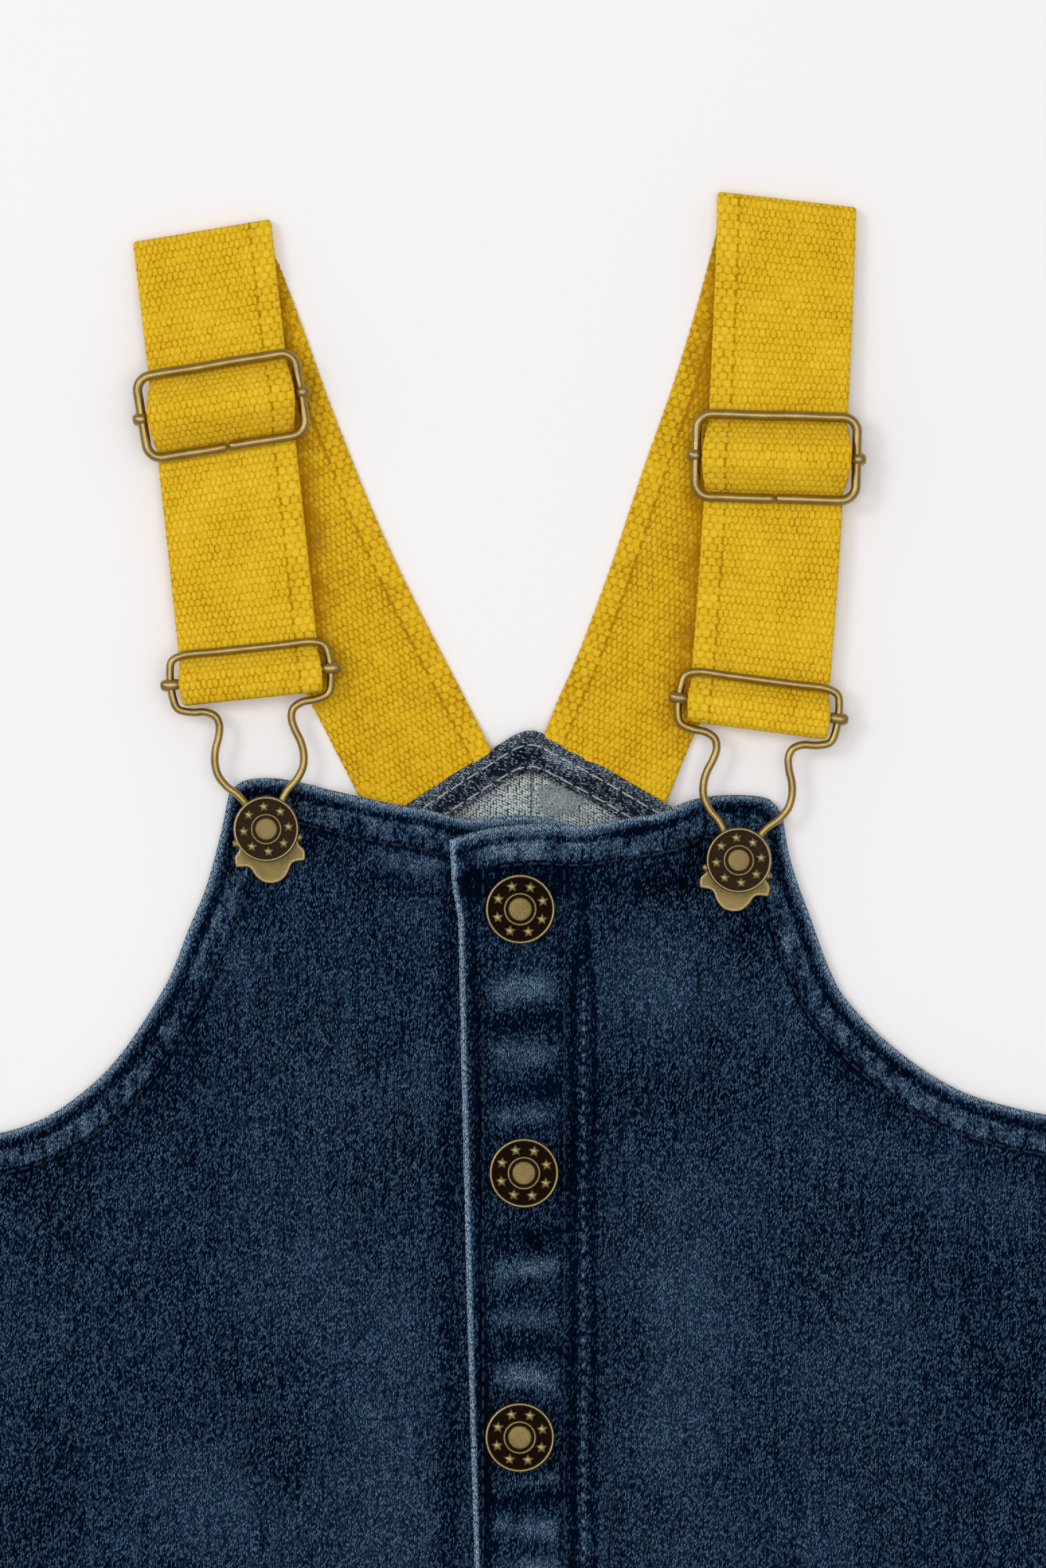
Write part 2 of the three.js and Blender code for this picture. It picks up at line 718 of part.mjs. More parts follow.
// Riveted button: a tack under the cloth, a post through it and a ringed head.
function rivetButton(headRadius, tackZ, headZ) {
  const top = headZ + headHeight;
  const rimWidth = 0.08 * headRadius;
  const ring = 0.44 * headRadius;
  const centre = 0.33 * headRadius;
  const dish = 0.45;
  const profile = [
    [0, tackZ],
    [tackRadius, tackZ],
    [tackRadius, tackZ + tackThickness],
    [postRadius, tackZ + tackThickness],
    [postRadius, headZ],
    [headRadius * 0.9, headZ],
    [headRadius, headZ + headHeight * 0.35],
    [headRadius, top - 0.5],
    [headRadius - rimWidth * 0.5, top],
    [headRadius - rimWidth * 1.4, top - dish],
    [ring + 0.3, top - dish],
    [ring, top - 0.05],
    [ring - 0.4, top - dish],
    [centre, top - 0.2],
    [0, top - 0.1],
  ].map(([r, z]) => new THREE.Vector2(r, z));
  const button = cleanGeometry(new THREE.LatheGeometry(profile, 20));
  button.rotateX(Math.PI / 2);
  return button;
}

function postHole(place) {
  const hole = cleanGeometry(new THREE.CylinderGeometry(holeRadius, holeRadius, 30, 10));
  hole.rotateX(Math.PI / 2);
  hole.translate(place.x, place.y, 0);
  return hole;
}

// The whole garment

const garment = new THREE.Group();

function addPiece(name, geometry, material) {
  const mesh = new THREE.Mesh(geometry, material.clone());
  mesh.name = name;
  garment.add(mesh);
}

const placketHoles = placketButtons.map(postHole);
for (const side of ["left", "right"]) {
  const holes = [...placketHoles, postHole(straps[side].head)];
  addPiece(`front_${side}`, cutAll(frontPanel(side), holes), denimMaterial);
  addPiece(`back_${side}`, backPanel(side), denimMaterial);
}
addPiece("placket", cutAll(placketBand(), placketHoles), denimMaterial);
addPiece("back_facing", backFacing(), facingMaterial);

const underlapZ = denimThickness + seamGap + placketRise.height;
const overlapTopZ = underlapZ + 2 * denimThickness + facingThickness + 2 * seamGap;
placketButtons.forEach((place, i) => {
  const tackZ = underlapZ - seamGap - tackThickness;
  const button = rivetButton(placketHeadRadius, tackZ, overlapTopZ + seamGap);
  addPiece(`placket_button_${i + 1}`, seat(button, place, 0), brassMaterial);
});

for (const side of ["left", "right"]) {
  const strap = straps[side];
  const webbing = ribbon(strapSections(strap), strapWidth, strapThickness);
  addPiece(`strap_${side}`, webbing, webbingMaterial);

  const sliderPlace = { ...frontRun(strap).at(strap.sliderDistance), z: sliderWire.z };
  const sliderCollar = { radius: 1.75, length: 3.6 };
  const sliderBar = crossBar(38.6, sliderCollar, sliderWire.radius, sliderWire.halfWidth);
  const slider = seat(sliderLoop(sliderWire.radius), sliderPlace, strap.sliderTurn);
  addPiece(`slider_${side}`, slider, brassMaterial);
  addPiece(`slider_bar_${side}`, seat(sliderBar, sliderPlace, strap.sliderTurn), brassMaterial);

  const buckleCollar = { radius: 1.5, length: 4 };
  const barWireX = readTable(buckleWireBend.slice(3, 7), "y", "x", buckleBarY);
  const buckleBar = crossBar(39, buckleCollar, buckleWire.radius, barWireX);
  const barPlace = { ...local(strap.head, strap.buckleTurn, 0, buckleBarY), z: buckleBarZ() };
  const buckle = seat(buckleLoop(buckleWire.radius), strap.head, strap.buckleTurn);
  addPiece(`buckle_${side}`, buckle, brassMaterial);
  addPiece(`buckle_bar_${side}`, seat(buckleBar, barPlace, strap.buckleTurn), brassMaterial);

  const plateZ = buckleWire.headZ - buckleWire.radius - seamGap - plateThickness;
  addPiece(`buckle_plate_${side}`, seat(bucklePlate(plateZ), strap.head, strap.buckleTurn), brassMaterial);
  const headZ = buckleWire.headZ + buckleWire.radius + seamGap;
  const bibButton = rivetButton(bibHeadRadius, tableClearance, headZ);
  addPiece(`bib_button_${side}`, seat(bibButton, strap.head, strap.buckleTurn), brassMaterial);
}

export default garment;
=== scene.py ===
"""Kids dungarees laid flat with the front up, dressed over the CAD frame.

Tables and sizes are in millimetres, and meshes in metres. +X goes to the right of the picture,
+Y to the shoulders and +Z up from the table.
"""
import logging
import math
import random
from dataclasses import dataclass, field
from enum import Enum
from typing import Callable, Sequence

import bpy
import numpy as np
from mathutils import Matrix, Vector, geometry, noise


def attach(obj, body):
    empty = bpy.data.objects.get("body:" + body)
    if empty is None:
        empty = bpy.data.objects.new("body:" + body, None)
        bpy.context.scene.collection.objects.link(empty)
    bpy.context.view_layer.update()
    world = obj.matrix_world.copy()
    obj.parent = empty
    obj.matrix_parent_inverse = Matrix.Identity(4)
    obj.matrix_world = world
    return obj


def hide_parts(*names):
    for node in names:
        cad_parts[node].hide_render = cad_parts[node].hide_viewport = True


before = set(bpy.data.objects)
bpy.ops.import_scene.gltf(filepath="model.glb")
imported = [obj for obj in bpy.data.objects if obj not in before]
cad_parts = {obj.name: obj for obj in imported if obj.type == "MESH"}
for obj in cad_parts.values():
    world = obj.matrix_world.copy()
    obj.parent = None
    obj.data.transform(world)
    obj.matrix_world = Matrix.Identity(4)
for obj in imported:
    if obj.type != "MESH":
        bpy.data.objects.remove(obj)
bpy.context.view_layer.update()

log = logging.getLogger("dungarees")

MM = 0.001
FAR = 14.0
BUTTONHOLE_RADIUS = 2.25
Colour = tuple[float, float, float]
Faces = list[tuple[int, ...]]
Material = bpy.types.Material
Creases = tuple[tuple[float, ...], ...]
Table = tuple[tuple[float, float], ...]
Heights = tuple[np.ndarray, np.ndarray, np.ndarray]


class Side(Enum):
    """The half of the garment, as the picture shows it."""

    LEFT = "left"
    RIGHT = "right"

    @property
    def sign(self) -> int:
        """-1 on the picture's left and 1 on its right."""
        return -1 if self is Side.LEFT else 1


class Slot(Enum):
    """Material slots of the record."""

    DENIM = "denim"
    WEBBING = "webbing"
    BRASS = "antique_brass"


# Number helpers


def smooth_step(low: float, high: float, value: np.ndarray) -> np.ndarray:
    """A soft step.

    Args:
        low: where the step starts.
        high: where the step ends.
        value: numbers to read it at.

    Returns:
        0 below low, 1 above high and a soft rise between them.
    """
    t = np.clip((np.asarray(value, dtype=float) - low) / (high - low), 0.0, 1.0)
    return t * t * (3.0 - 2.0 * t)


def plateau(low: float, high: float, fall: float, value: np.ndarray) -> np.ndarray:
    """1 from low to high, with a soft fall to 0 on both sides."""
    return smooth_step(low - fall, low, value) * (1.0 - smooth_step(high, high + fall, value))


def bell(centre: float, width: float, value: np.ndarray) -> np.ndarray:
    """A soft bump of height 1 about a centre."""
    return np.exp(-(((np.asarray(value, dtype=float) - centre) / width) ** 2))


def read_table(table: Table, value: np.ndarray) -> np.ndarray:
    """A straight-line reading of a table of pairs, in either order."""
    rows = sorted(table)
    return np.interp(value, [row[0] for row in rows], [row[1] for row in rows])


def mottle(points: np.ndarray, size: float, seed: float) -> np.ndarray:
    """Soft random numbers over points.

    Args:
        points: places in millimetres, two columns.
        size: the size of a patch in millimetres.
        seed: which of the patterns it is.

    Returns:
        One number a point, from about -1 to 1.
    """
    return np.array([noise.noise(Vector((x / size, y / size, seed))) for x, y in points]) * 1.6


def smooth_curve(points: Sequence[Sequence[float]], step: float) -> np.ndarray:
    """Points on a centripetal curve through the given ones.

    Args:
        points: places that the curve passes, in two or three columns.
        step: the wanted distance between points.

    Returns:
        The curve's points, with both ends.
    """
    knots = np.array(points, dtype=float)
    padded = np.vstack([2 * knots[0] - knots[1], knots, 2 * knots[-1] - knots[-2]])
    rows = []
    for i in range(1, len(padded) - 2):
        a, b, c, d = padded[i - 1 : i + 3]
        t0 = 0.0
        t1 = t0 + math.sqrt(max(np.linalg.norm(b - a), 1e-6))
        t2 = t1 + math.sqrt(max(np.linalg.norm(c - b), 1e-6))
        t3 = t2 + math.sqrt(max(np.linalg.norm(d - c), 1e-6))
        count = max(1, round(float(np.linalg.norm(c - b)) / step))
        for t in t1 + (t2 - t1) * np.arange(count) / count:
            ab = (a * (t1 - t) + b * (t - t0)) / (t1 - t0)
            bc = (b * (t2 - t) + c * (t - t1)) / (t2 - t1)
            cd = (c * (t3 - t) + d * (t - t2)) / (t3 - t2)
            left = (ab * (t2 - t) + bc * (t - t0)) / (t2 - t0)
            right = (bc * (t3 - t) + cd * (t - t1)) / (t3 - t1)
            rows.append((left * (t2 - t) + right * (t - t1)) / (t2 - t1))
    rows.append(knots[-1])
    return np.array(rows)


def unit(vectors: np.ndarray) -> np.ndarray:
    """Rows of vectors made one long."""
    return vectors / np.maximum(np.linalg.norm(vectors, axis=1, keepdims=True), 1e-9)


def run_lengths(line: np.ndarray) -> np.ndarray:
    """The distance along a line to each of its points."""
    return np.concatenate([[0.0], np.cumsum(np.linalg.norm(np.diff(line, axis=0), axis=1))])


def level(xs: np.ndarray, y: float) -> np.ndarray:
    """Points side by side at one height along the body."""
    return np.column_stack([xs, np.full(len(xs), y)])


def line_distance(points: np.ndarray, line: np.ndarray) -> np.ndarray:
    """The distance from each point to a line of straight pieces."""
    best = np.full(len(points), 1e9)
    for start, end in zip(line[:-1], line[1:]):
        along = end - start
        square = max(float(along @ along), 1e-12)
        t = np.clip((points - start) @ along / square, 0.0, 1.0)
        gap = points - start - t[:, None] * along
        best = np.minimum(best, np.hypot(gap[:, 0], gap[:, 1]))
    return best


def is_inside(points: np.ndarray, outline: np.ndarray) -> np.ndarray:
    """Whether each point is inside a closed outline."""
    inside = np.zeros(len(points), dtype=bool)
    for a, b in zip(outline, np.roll(outline, -1, axis=0)):
        if a[1] == b[1]:
            continue
        crosses = (a[1] > points[:, 1]) != (b[1] > points[:, 1])
        at = a[0] + (points[:, 1] - a[1]) * (b[0] - a[0]) / (b[1] - a[1])
        inside ^= crosses & (points[:, 0] < at)
    return inside


# Shaders


class Term:
    """A value that changes over a surface, held as a node's output socket."""

    def __init__(self, shader: "Shader", socket: bpy.types.NodeSocket) -> None:
        """Keeps the socket and the shader that it belongs to."""
        self.shader = shader
        self.socket = socket

    def _maths(self, operation: str, first: "Term | float", second: "Term | float") -> "Term":
        """The output of a Math node on two values."""
        made = self.shader.node("ShaderNodeMath", {"operation": operation}, {0: first, 1: second})
        return Term(self.shader, made.outputs[0])

    def __add__(self, other: "Term | float") -> "Term":
        """Sum of two values."""
        return self._maths("ADD", self, other)

    __radd__ = __add__

    def __sub__(self, other: "Term | float") -> "Term":
        """Difference of two values."""
        return self._maths("SUBTRACT", self, other)

    def __rsub__(self, other: float) -> "Term":
        """Difference with this value taken away."""
        return self._maths("SUBTRACT", other, self)

    def __mul__(self, other: "Term | float") -> "Term":
        """Product of two values."""
        return self._maths("MULTIPLY", self, other)

    __rmul__ = __mul__

    def __truediv__(self, other: "Term | float") -> "Term":
        """Quotient of two values."""
        return self._maths("DIVIDE", self, other)

    def __rtruediv__(self, other: float) -> "Term":
        """Quotient with this value below."""
        return self._maths("DIVIDE", other, self)

    def whole(self) -> "Term":
        """The whole number below the value."""
        return self._maths("FLOOR", self, 0.0)

    def wrapped(self) -> "Term":
        """What is left of the value above its whole number."""
        return self._maths("FRACT", self, 0.0)

    def size(self) -> "Term":
        """The value without its sign."""
        return self._maths("ABSOLUTE", self, 0.0)

    def power(self, exponent: float) -> "Term":
        """The value raised to a power."""
        return self._maths("POWER", self, exponent)

    def smooth(self, low: float, high: float) -> "Term":
        """0 at low and 1 at high, with a soft change between them."""
        made = self.shader.node(
            "ShaderNodeMapRange",
            {"interpolation_type": "SMOOTHSTEP"},
            {"Value": self, "From Min": low, "From Max": high, "To Min": 0.0, "To Max": 1.0},
        )
        return Term(self.shader, made.outputs[0])

    def clamped(self) -> "Term":
        """The value kept between 0 and 1."""
        made = self.shader.node("ShaderNodeClamp", {}, {"Value": self, "Min": 0.0, "Max": 1.0})
        return Term(self.shader, made.outputs[0])


def linear(colour: Colour) -> tuple[float, float, float, float]:
    """A screen colour, 0 to 255, as the linear colour that a socket takes."""

    def straight(value: float) -> float:
        """One channel made linear."""
        share = value / 255.0
        return share / 12.92 if share <= 0.04045 else ((share + 0.055) / 1.055) ** 2.4

    return (straight(colour[0]), straight(colour[1]), straight(colour[2]), 1.0)


class Shader:
    """The nodes of one material."""

    def __init__(self, name: str, sockets: dict[str, object]) -> None:
        """Makes the material and its surface shader, with the values of its sockets."""
        self.material = bpy.data.materials.new(name)
        self.material.use_nodes = True
        self.tree = self.material.node_tree
        self.tree.nodes.clear()
        self.surface = self.node("ShaderNodeBsdfPrincipled", {}, sockets)
        self.node("ShaderNodeOutputMaterial", {}, {"Surface": self.surface.outputs[0]})

    def node(self, kind: str, settings: dict, sockets: dict) -> bpy.types.Node:
        """Adds a node.

        Args:
            kind: Blender's name of the node's type.
            settings: its properties, set before its inputs.
            sockets: values, Terms or sockets for its inputs, by name or number.

        Returns:
            The node.
        """
        made = self.tree.nodes.new(kind)
        for name, value in settings.items():
            setattr(made, name, value)
        for key, value in sockets.items():
            if isinstance(value, Term):
                value = value.socket
            if isinstance(value, bpy.types.NodeSocket):
                self.tree.links.new(value, made.inputs[key])
            else:
                made.inputs[key].default_value = value
        return made

    def feed(self, name: str, value: "Term | bpy.types.NodeSocket") -> None:
        """Links a value to one of the surface shader's sockets."""
        socket = value.socket if isinstance(value, Term) else value
        self.tree.links.new(socket, self.surface.inputs[name])

    def millimetres(self) -> bpy.types.NodeSocket:
        """The object's own coordinates in millimetres."""
        place = self.node("ShaderNodeTexCoord", {}, {})
        scaled = self.node(
            "ShaderNodeVectorMath", {"operation": "SCALE"}, {0: place.outputs["Object"], "Scale": 1000.0}
        )
        return scaled.outputs[0]

    def attribute(self, name: str) -> bpy.types.Node:
        """The node that reads a mesh attribute."""
        return self.node("ShaderNodeAttribute", {"attribute_name": name}, {})

    def number(self, name: str) -> Term:
        """A mesh attribute of one number a point."""
        return Term(self, self.attribute(name).outputs["Fac"])

    def dot(self, vector: bpy.types.NodeSocket, axis: Sequence[float]) -> Term:
        """The share of a vector along an axis."""
        made = self.node("ShaderNodeVectorMath", {"operation": "DOT_PRODUCT"}, {0: vector, 1: tuple(axis)})
        return Term(self, made.outputs["Value"])

    def pair(self, x: Term, y: Term) -> bpy.types.NodeSocket:
        """A vector from two values."""
        return self.node("ShaderNodeCombineXYZ", {}, {0: x, 1: y}).outputs[0]

    def stretched(self, vector: bpy.types.NodeSocket, scale: Sequence[float]) -> bpy.types.NodeSocket:
        """A vector times a scale on each axis."""
        made = self.node("ShaderNodeVectorMath", {"operation": "MULTIPLY"}, {0: vector, 1: tuple(scale)})
        return made.outputs[0]

    def noise(self, vector: bpy.types.NodeSocket, scale: float, detail: float = 2.0) -> Term:
        """Soft noise about 0.5."""
        made = self.node("ShaderNodeTexNoise", {}, {"Vector": vector, "Scale": scale, "Detail": detail})
        return Term(self, made.outputs[0])

    def mix(self, factor: Term, first: object, second: object) -> bpy.types.NodeSocket:
        """A colour between two others.

        Args:
            factor: 0 for the first and 1 for the second.
            first: a linear colour or a colour socket.
            second: a linear colour or a colour socket.

        Returns:
            The mixed colour's socket.
        """
        return self.node("ShaderNodeMix", {"data_type": "RGBA"}, {0: factor, 6: first, 7: second}).outputs[2]

    def bump(self, height: Term, distance: float, strength: float) -> None:
        """Feeds a relief in metres to the surface's normal."""
        made = self.node("ShaderNodeBump", {}, {"Strength": strength, "Distance": distance, "Height": height})
        self.feed("Normal", made.outputs[0])


@dataclass(frozen=True)
class DenimFinish:
    """Twill of dyed and light thread, with light dashes along steep diagonals."""

    name: str
    deep: Colour = (0, 6, 18)
    dyed: Colour = (2, 20, 45)
    worn: Colour = (56, 83, 112)
    thread: Colour = (110, 148, 185)
    bare: Colour = (176, 201, 218)
    cover: float = 0.0
    reach: float = 0.5
    is_hemmed: bool = False
    column: float = 0.29
    row: float = 0.72
    lean: float = 0.6
    turn: float = 0.0
    relief: float = 0.00016
    jitter: float = 0.45
    softness: float = 0.38
    patch_scale: float = 0.45
    broad_scale: float = 0.035
    streak_scale: tuple[float, float, float] = (1.1, 0.035, 1.0)
    wale_across: tuple[float, float, float] = (1.5, -0.8, 0.0)
    wale_along: tuple[float, float, float] = (0.07, 0.13, 0.0)
    # Places of painted shade, in millimetres from the edge or the lapped fold: a dark line under the rolled
    # rim, one along the stitching and one beyond the fold.
    under_rim_at: float = 3.0
    seam_at: float = 8.7
    beyond_lap_at: float = 3.2

    def build(self) -> bpy.types.Material:
        """Makes the material."""
        shader = Shader(self.name, {"Roughness": 0.95, "Specular IOR Level": 0.02})
        place = shader.millimetres()
        angle = math.radians(self.turn)
        across = np.array([math.cos(angle), math.sin(angle), 0.0]) / self.column
        along = np.array([-math.sin(angle), math.cos(angle), 0.0]) / self.row
        lattice = shader.pair(shader.dot(place, across), shader.dot(place, along - self.lean * across))
        cells = shader.node(
            "ShaderNodeTexVoronoi",
            {"voronoi_dimensions": "2D"},
            {"Vector": lattice, "Scale": 1.0, "Randomness": self.jitter},
        )
        dash = Term(shader, cells.outputs["Distance"]).smooth(self.reach, self.reach - self.softness)
        draws = shader.node("ShaderNodeSeparateColor", {}, {0: cells.outputs["Color"]})
        chance = Term(shader, draws.outputs[0])
        patches = shader.noise(place, self.patch_scale, 3.0)
        broad = shader.noise(place, self.broad_scale, 2.0)
        streaks = shader.noise(shader.stretched(place, self.streak_scale), 1.0, 2.0)
        # This attribute is lighter where the cloth is worn; its dark lines beside hems, stitching and laps
        # and in crease troughs are painted shade, which pulls the ground toward the deep colour and thins the
        # light dashes.
        fade = shader.number("fade")
        if self.is_hemmed:
            fade = fade + self._edge_wear_and_shade(shader, place)
        wales = shader.pair(shader.dot(place, self.wale_across), shader.dot(place, self.wale_along))
        twill = shader.noise(wales, 1.0, 2.0)
        tone = (patches - 0.5) * 0.4 + (broad - 0.5) * 1.2 + (streaks - 0.5) * 1.0 + (twill - 0.5) * 1.0
        light = dash * (self.cover + chance.power(2.0) * 0.86 + tone * 0.36 + fade * 0.85)
        ground = shader.mix((tone * 0.9 + fade * 0.4 + 0.4).clamped(), linear(self.deep), linear(self.dyed))
        ground = shader.mix((fade * 0.27).clamped(), ground, linear(self.worn))
        thread = shader.mix((fade * 0.7).clamped(), linear(self.thread), linear(self.bare))
        shader.feed("Base Color", shader.mix(light.clamped(), ground, thread))
        shader.bump(dash * 0.6 + patches * 0.5, self.relief, 0.7)
        return shader.material

    def _edge_wear_and_shade(self, shader: Shader, place: bpy.types.NodeSocket) -> Term:
        """Worn edges, dark stitching lines and puckers between them; the dark lines, under the rolled rim,
        along the stitching and beyond the lapped fold, are painted shade.
        """
        edge = shader.number("edge")
        lap = shader.number("lap")
        fine = shader.noise(place, 1.3, 2.0)
        ropes = shader.noise(shader.stretched(place, (0.5, 0.2, 1.0)), 1.0, 2.0)
        ropes = (ropes - 0.5) * 2.4 + (fine - 0.5) * 1.1
        rim = edge.smooth(1.9, 0.3) * (fine * 1.3 + 0.35)
        # Painted shade: a dark line just inside the rolled rim, and one along the stitching.
        under_rim_shade = (edge - self.under_rim_at).size().smooth(1.2, 0.2)
        seam = (edge - self.seam_at).size().smooth(1.3, 0.2)
        band = edge.smooth(8.6, 7.4) * edge.smooth(3.0, 4.4)
        fold = lap.smooth(1.7, 0.5) * (fine * 2.2 + 0.1)
        # Painted shade: a dark line beyond the lapped fold.
        beyond_lap_shade = (lap - self.beyond_lap_at).size().smooth(1.3, 0.2)
        rim_wear_and_shade = rim * 1.1 + band * (0.16 + ropes * 0.85) - under_rim_shade * 0.5 - seam * 0.5
        return rim_wear_and_shade + fold * 1.25 - beyond_lap_shade * 0.45


@dataclass(frozen=True)
class WebbingFinish:
    """Thick cotton webbing: rows of knots, with a groove and bigger knots along one edge."""

    name: str = "webbing"
    # The gap colour is painted shade in the slits between knots and along the groove; the crown colour is a
    # painted highlight toward the knot tops; the body colour is the webbing's own yellow.
    gap: Colour = (172, 122, 8)
    body: Colour = (227, 183, 32)
    crown: Colour = (245, 206, 58)
    knot_width: float = 1.22
    knot_height: float = 1.6
    groove_at: float = 10.3
    edge_narrowing: float = 0.38

    def build(self) -> bpy.types.Material:
        """Makes the material."""
        shader = Shader(self.name, {"Roughness": 0.9, "Specular IOR Level": 0.08})
        lay = shader.attribute("lay").outputs["Vector"]
        wander = shader.noise(lay, 1.1, 2.0)
        across = shader.dot(lay, (1.0, 0.0, 0.0)) + (wander - 0.5) * 0.8
        along = shader.dot(lay, (0.0, 1.0, 0.0)) + (shader.noise(lay, 0.55, 1.0) - 0.5) * 0.9
        edge_band = across.smooth(self.groove_at, self.groove_at + 0.2)
        rows = along / self.knot_height
        row = rows.whole()
        columns = across - edge_band * (across - self.groove_at) * self.edge_narrowing
        columns = columns / self.knot_width + row * 0.5
        dx = (columns.wrapped() - 0.5) * 2.0
        dy = (rows.wrapped() - 0.5) * 2.0
        reach = (dx.size().power(2.2) + (dy * 0.84).size().power(3.0)).power(0.45)
        knot = reach.smooth(1.2, 0.36)
        spot = shader.pair(columns.whole(), row)
        cell = shader.node("ShaderNodeTexWhiteNoise", {"noise_dimensions": "2D"}, {"Vector": spot})
        chance = Term(shader, cell.outputs["Value"])
        fibres = shader.noise(shader.stretched(lay, (3.2, 1.3, 1.0)), 1.0, 4.0)
        broad = shader.noise(lay, 0.08, 2.0)
        # On the webbing this attribute holds only painted shade: the back run darker, darkest beside the
        # front run. It darkens the tone and deepens the slits.
        fade = shader.number("fade")
        # Painted shade: a dark line along the groove, and dark slits round each knot.
        groove = (1.0 - (across - self.groove_at).size().smooth(0.0, 0.6)) * 0.32
        slit_shade = (1.0 - knot) * (shader.noise(lay, 0.5, 2.0) * 1.35 + 0.12 + fade * 0.5)
        tone = (1.0 - slit_shade) * (0.58 + chance * 0.2) + (fibres - 0.5) * 0.9 + (broad - 0.5) * 0.6 - groove
        tone = tone + 0.08 + fade * 0.55 + edge_band * 0.04
        colour = shader.mix(tone.smooth(0.0, 0.62), linear(self.gap), linear(self.body))
        # Painted highlight: the lightest tone, highest at the knot tops, goes toward the crown colour.
        shader.feed("Base Color", shader.mix(tone.smooth(0.55, 1.15), colour, linear(self.crown)))
        shader.bump(knot * 0.9 + fibres * 0.9 - groove, 0.00028, 0.5)
        return shader.material


@dataclass(frozen=True)
class BrassFinish:
    """Antique brass: bright where it is rubbed, and brown where the stain stays."""

    name: str
    bright: Colour = (142, 124, 80)
    stain: Colour = (64, 50, 30)
    recess: Colour = (30, 20, 13)
    rubbed: Colour = (176, 158, 112)
    grain: float = 0.6
    rough: float = 0.36

    def build(self) -> bpy.types.Material:
        """Makes the material."""
        shader = Shader(self.name, {"Metallic": 1.0, "Roughness": self.rough})
        place = shader.millimetres()
        specks = shader.noise(place, 6.5, 3.0)
        clouds = shader.noise(place, 0.28, 3.0)
        sunk = shader.number("recess")
        stained = (specks - 0.5) * 0.9 * self.grain + (clouds - 0.5) * 0.8 + 0.22
        colour = shader.mix(stained.clamped(), linear(self.bright), linear(self.stain))
        colour = shader.mix(sunk.clamped(), colour, linear(self.recess))
        shader.feed("Base Color", shader.mix((0.0 - sunk).clamped(), colour, linear(self.rubbed)))
        shader.feed("Roughness", (self.rough + (specks - 0.5) * 0.3 + sunk * 0.3).clamped())
        shader.bump(specks, 0.00005, self.grain)
        return shader.material


@dataclass(frozen=True)
class ThreadFinish:
    """Twisted sewing thread or loose yarn."""

    name: str
    dark: Colour
    light: Colour

    def build(self) -> bpy.types.Material:
        """Makes the material."""
        shader = Shader(self.name, {"Roughness": 0.85, "Specular IOR Level": 0.15, "Sheen Weight": 0.1})
        place = shader.millimetres()
        twist = shader.noise(shader.stretched(place, (5.0, 5.0, 5.0)), 1.0, 3.0)
        shader.feed("Base Color", shader.mix(twist.smooth(0.35, 0.65), linear(self.dark), linear(self.light)))
        shader.bump(twist, 0.0001, 0.5)
        return shader.material


@dataclass(frozen=True)
class FloorFinish:
    """Pale matt table."""

    name: str = "table"
    paint: Colour = (249, 247, 248)

    def build(self) -> bpy.types.Material:
        """Makes the material."""
        shader = Shader(self.name, {"Roughness": 0.95, "Specular IOR Level": 0.0})
        shader.surface.inputs["Base Color"].default_value = linear(self.paint)
        return shader.material


@dataclass
class Finishes:
    """Every material of the garment, made once."""

    outside: Material = field(default_factory=DenimFinish("denim_outside", is_hemmed=True).build)
    inside: Material = field(
        default_factory=DenimFinish(
            "denim_inside", deep=(26, 37, 46), dyed=(60, 73, 84), worn=(110, 120, 126),
            thread=(204, 212, 211), cover=0.78, reach=0.62, column=0.62, row=0.58, lean=-0.45,
        ).build
    )
    turned: Material = field(
        default_factory=DenimFinish(
            "denim_facing", deep=(8, 14, 28), dyed=(30, 40, 58), thread=(196, 206, 214),
            cover=0.06, column=0.42, row=0.6, turn=84.0,
        ).build
    )
    webbing: Material = field(default_factory=WebbingFinish().build)
    wire: Material = field(
        default_factory=BrassFinish("brass_wire", bright=(168, 146, 92), stain=(84, 62, 28), rough=0.3).build
    )
    button: Material = field(
        default_factory=BrassFinish(
            "brass_button", bright=(126, 109, 68), stain=(58, 44, 26), grain=1.0, rough=0.42
        ).build
    )
    bib_button: Material = field(
        default_factory=BrassFinish(
            "brass_bib_button", bright=(132, 115, 74), stain=(66, 52, 32), recess=(60, 46, 34),
            grain=1.0, rough=0.44,
        ).build
    )
    navy_thread: Material = field(
        default_factory=ThreadFinish("navy_thread", (10, 16, 30), (44, 56, 76)).build
    )
    grey_thread: Material = field(
        default_factory=ThreadFinish("grey_thread", (124, 135, 141), (200, 208, 210)).build
    )
    yellow_thread: Material = field(
        default_factory=ThreadFinish("yellow_thread", (150, 108, 16), (216, 176, 52)).build
    )
    table: Material = field(default_factory=FloorFinish().build)


# Meshes


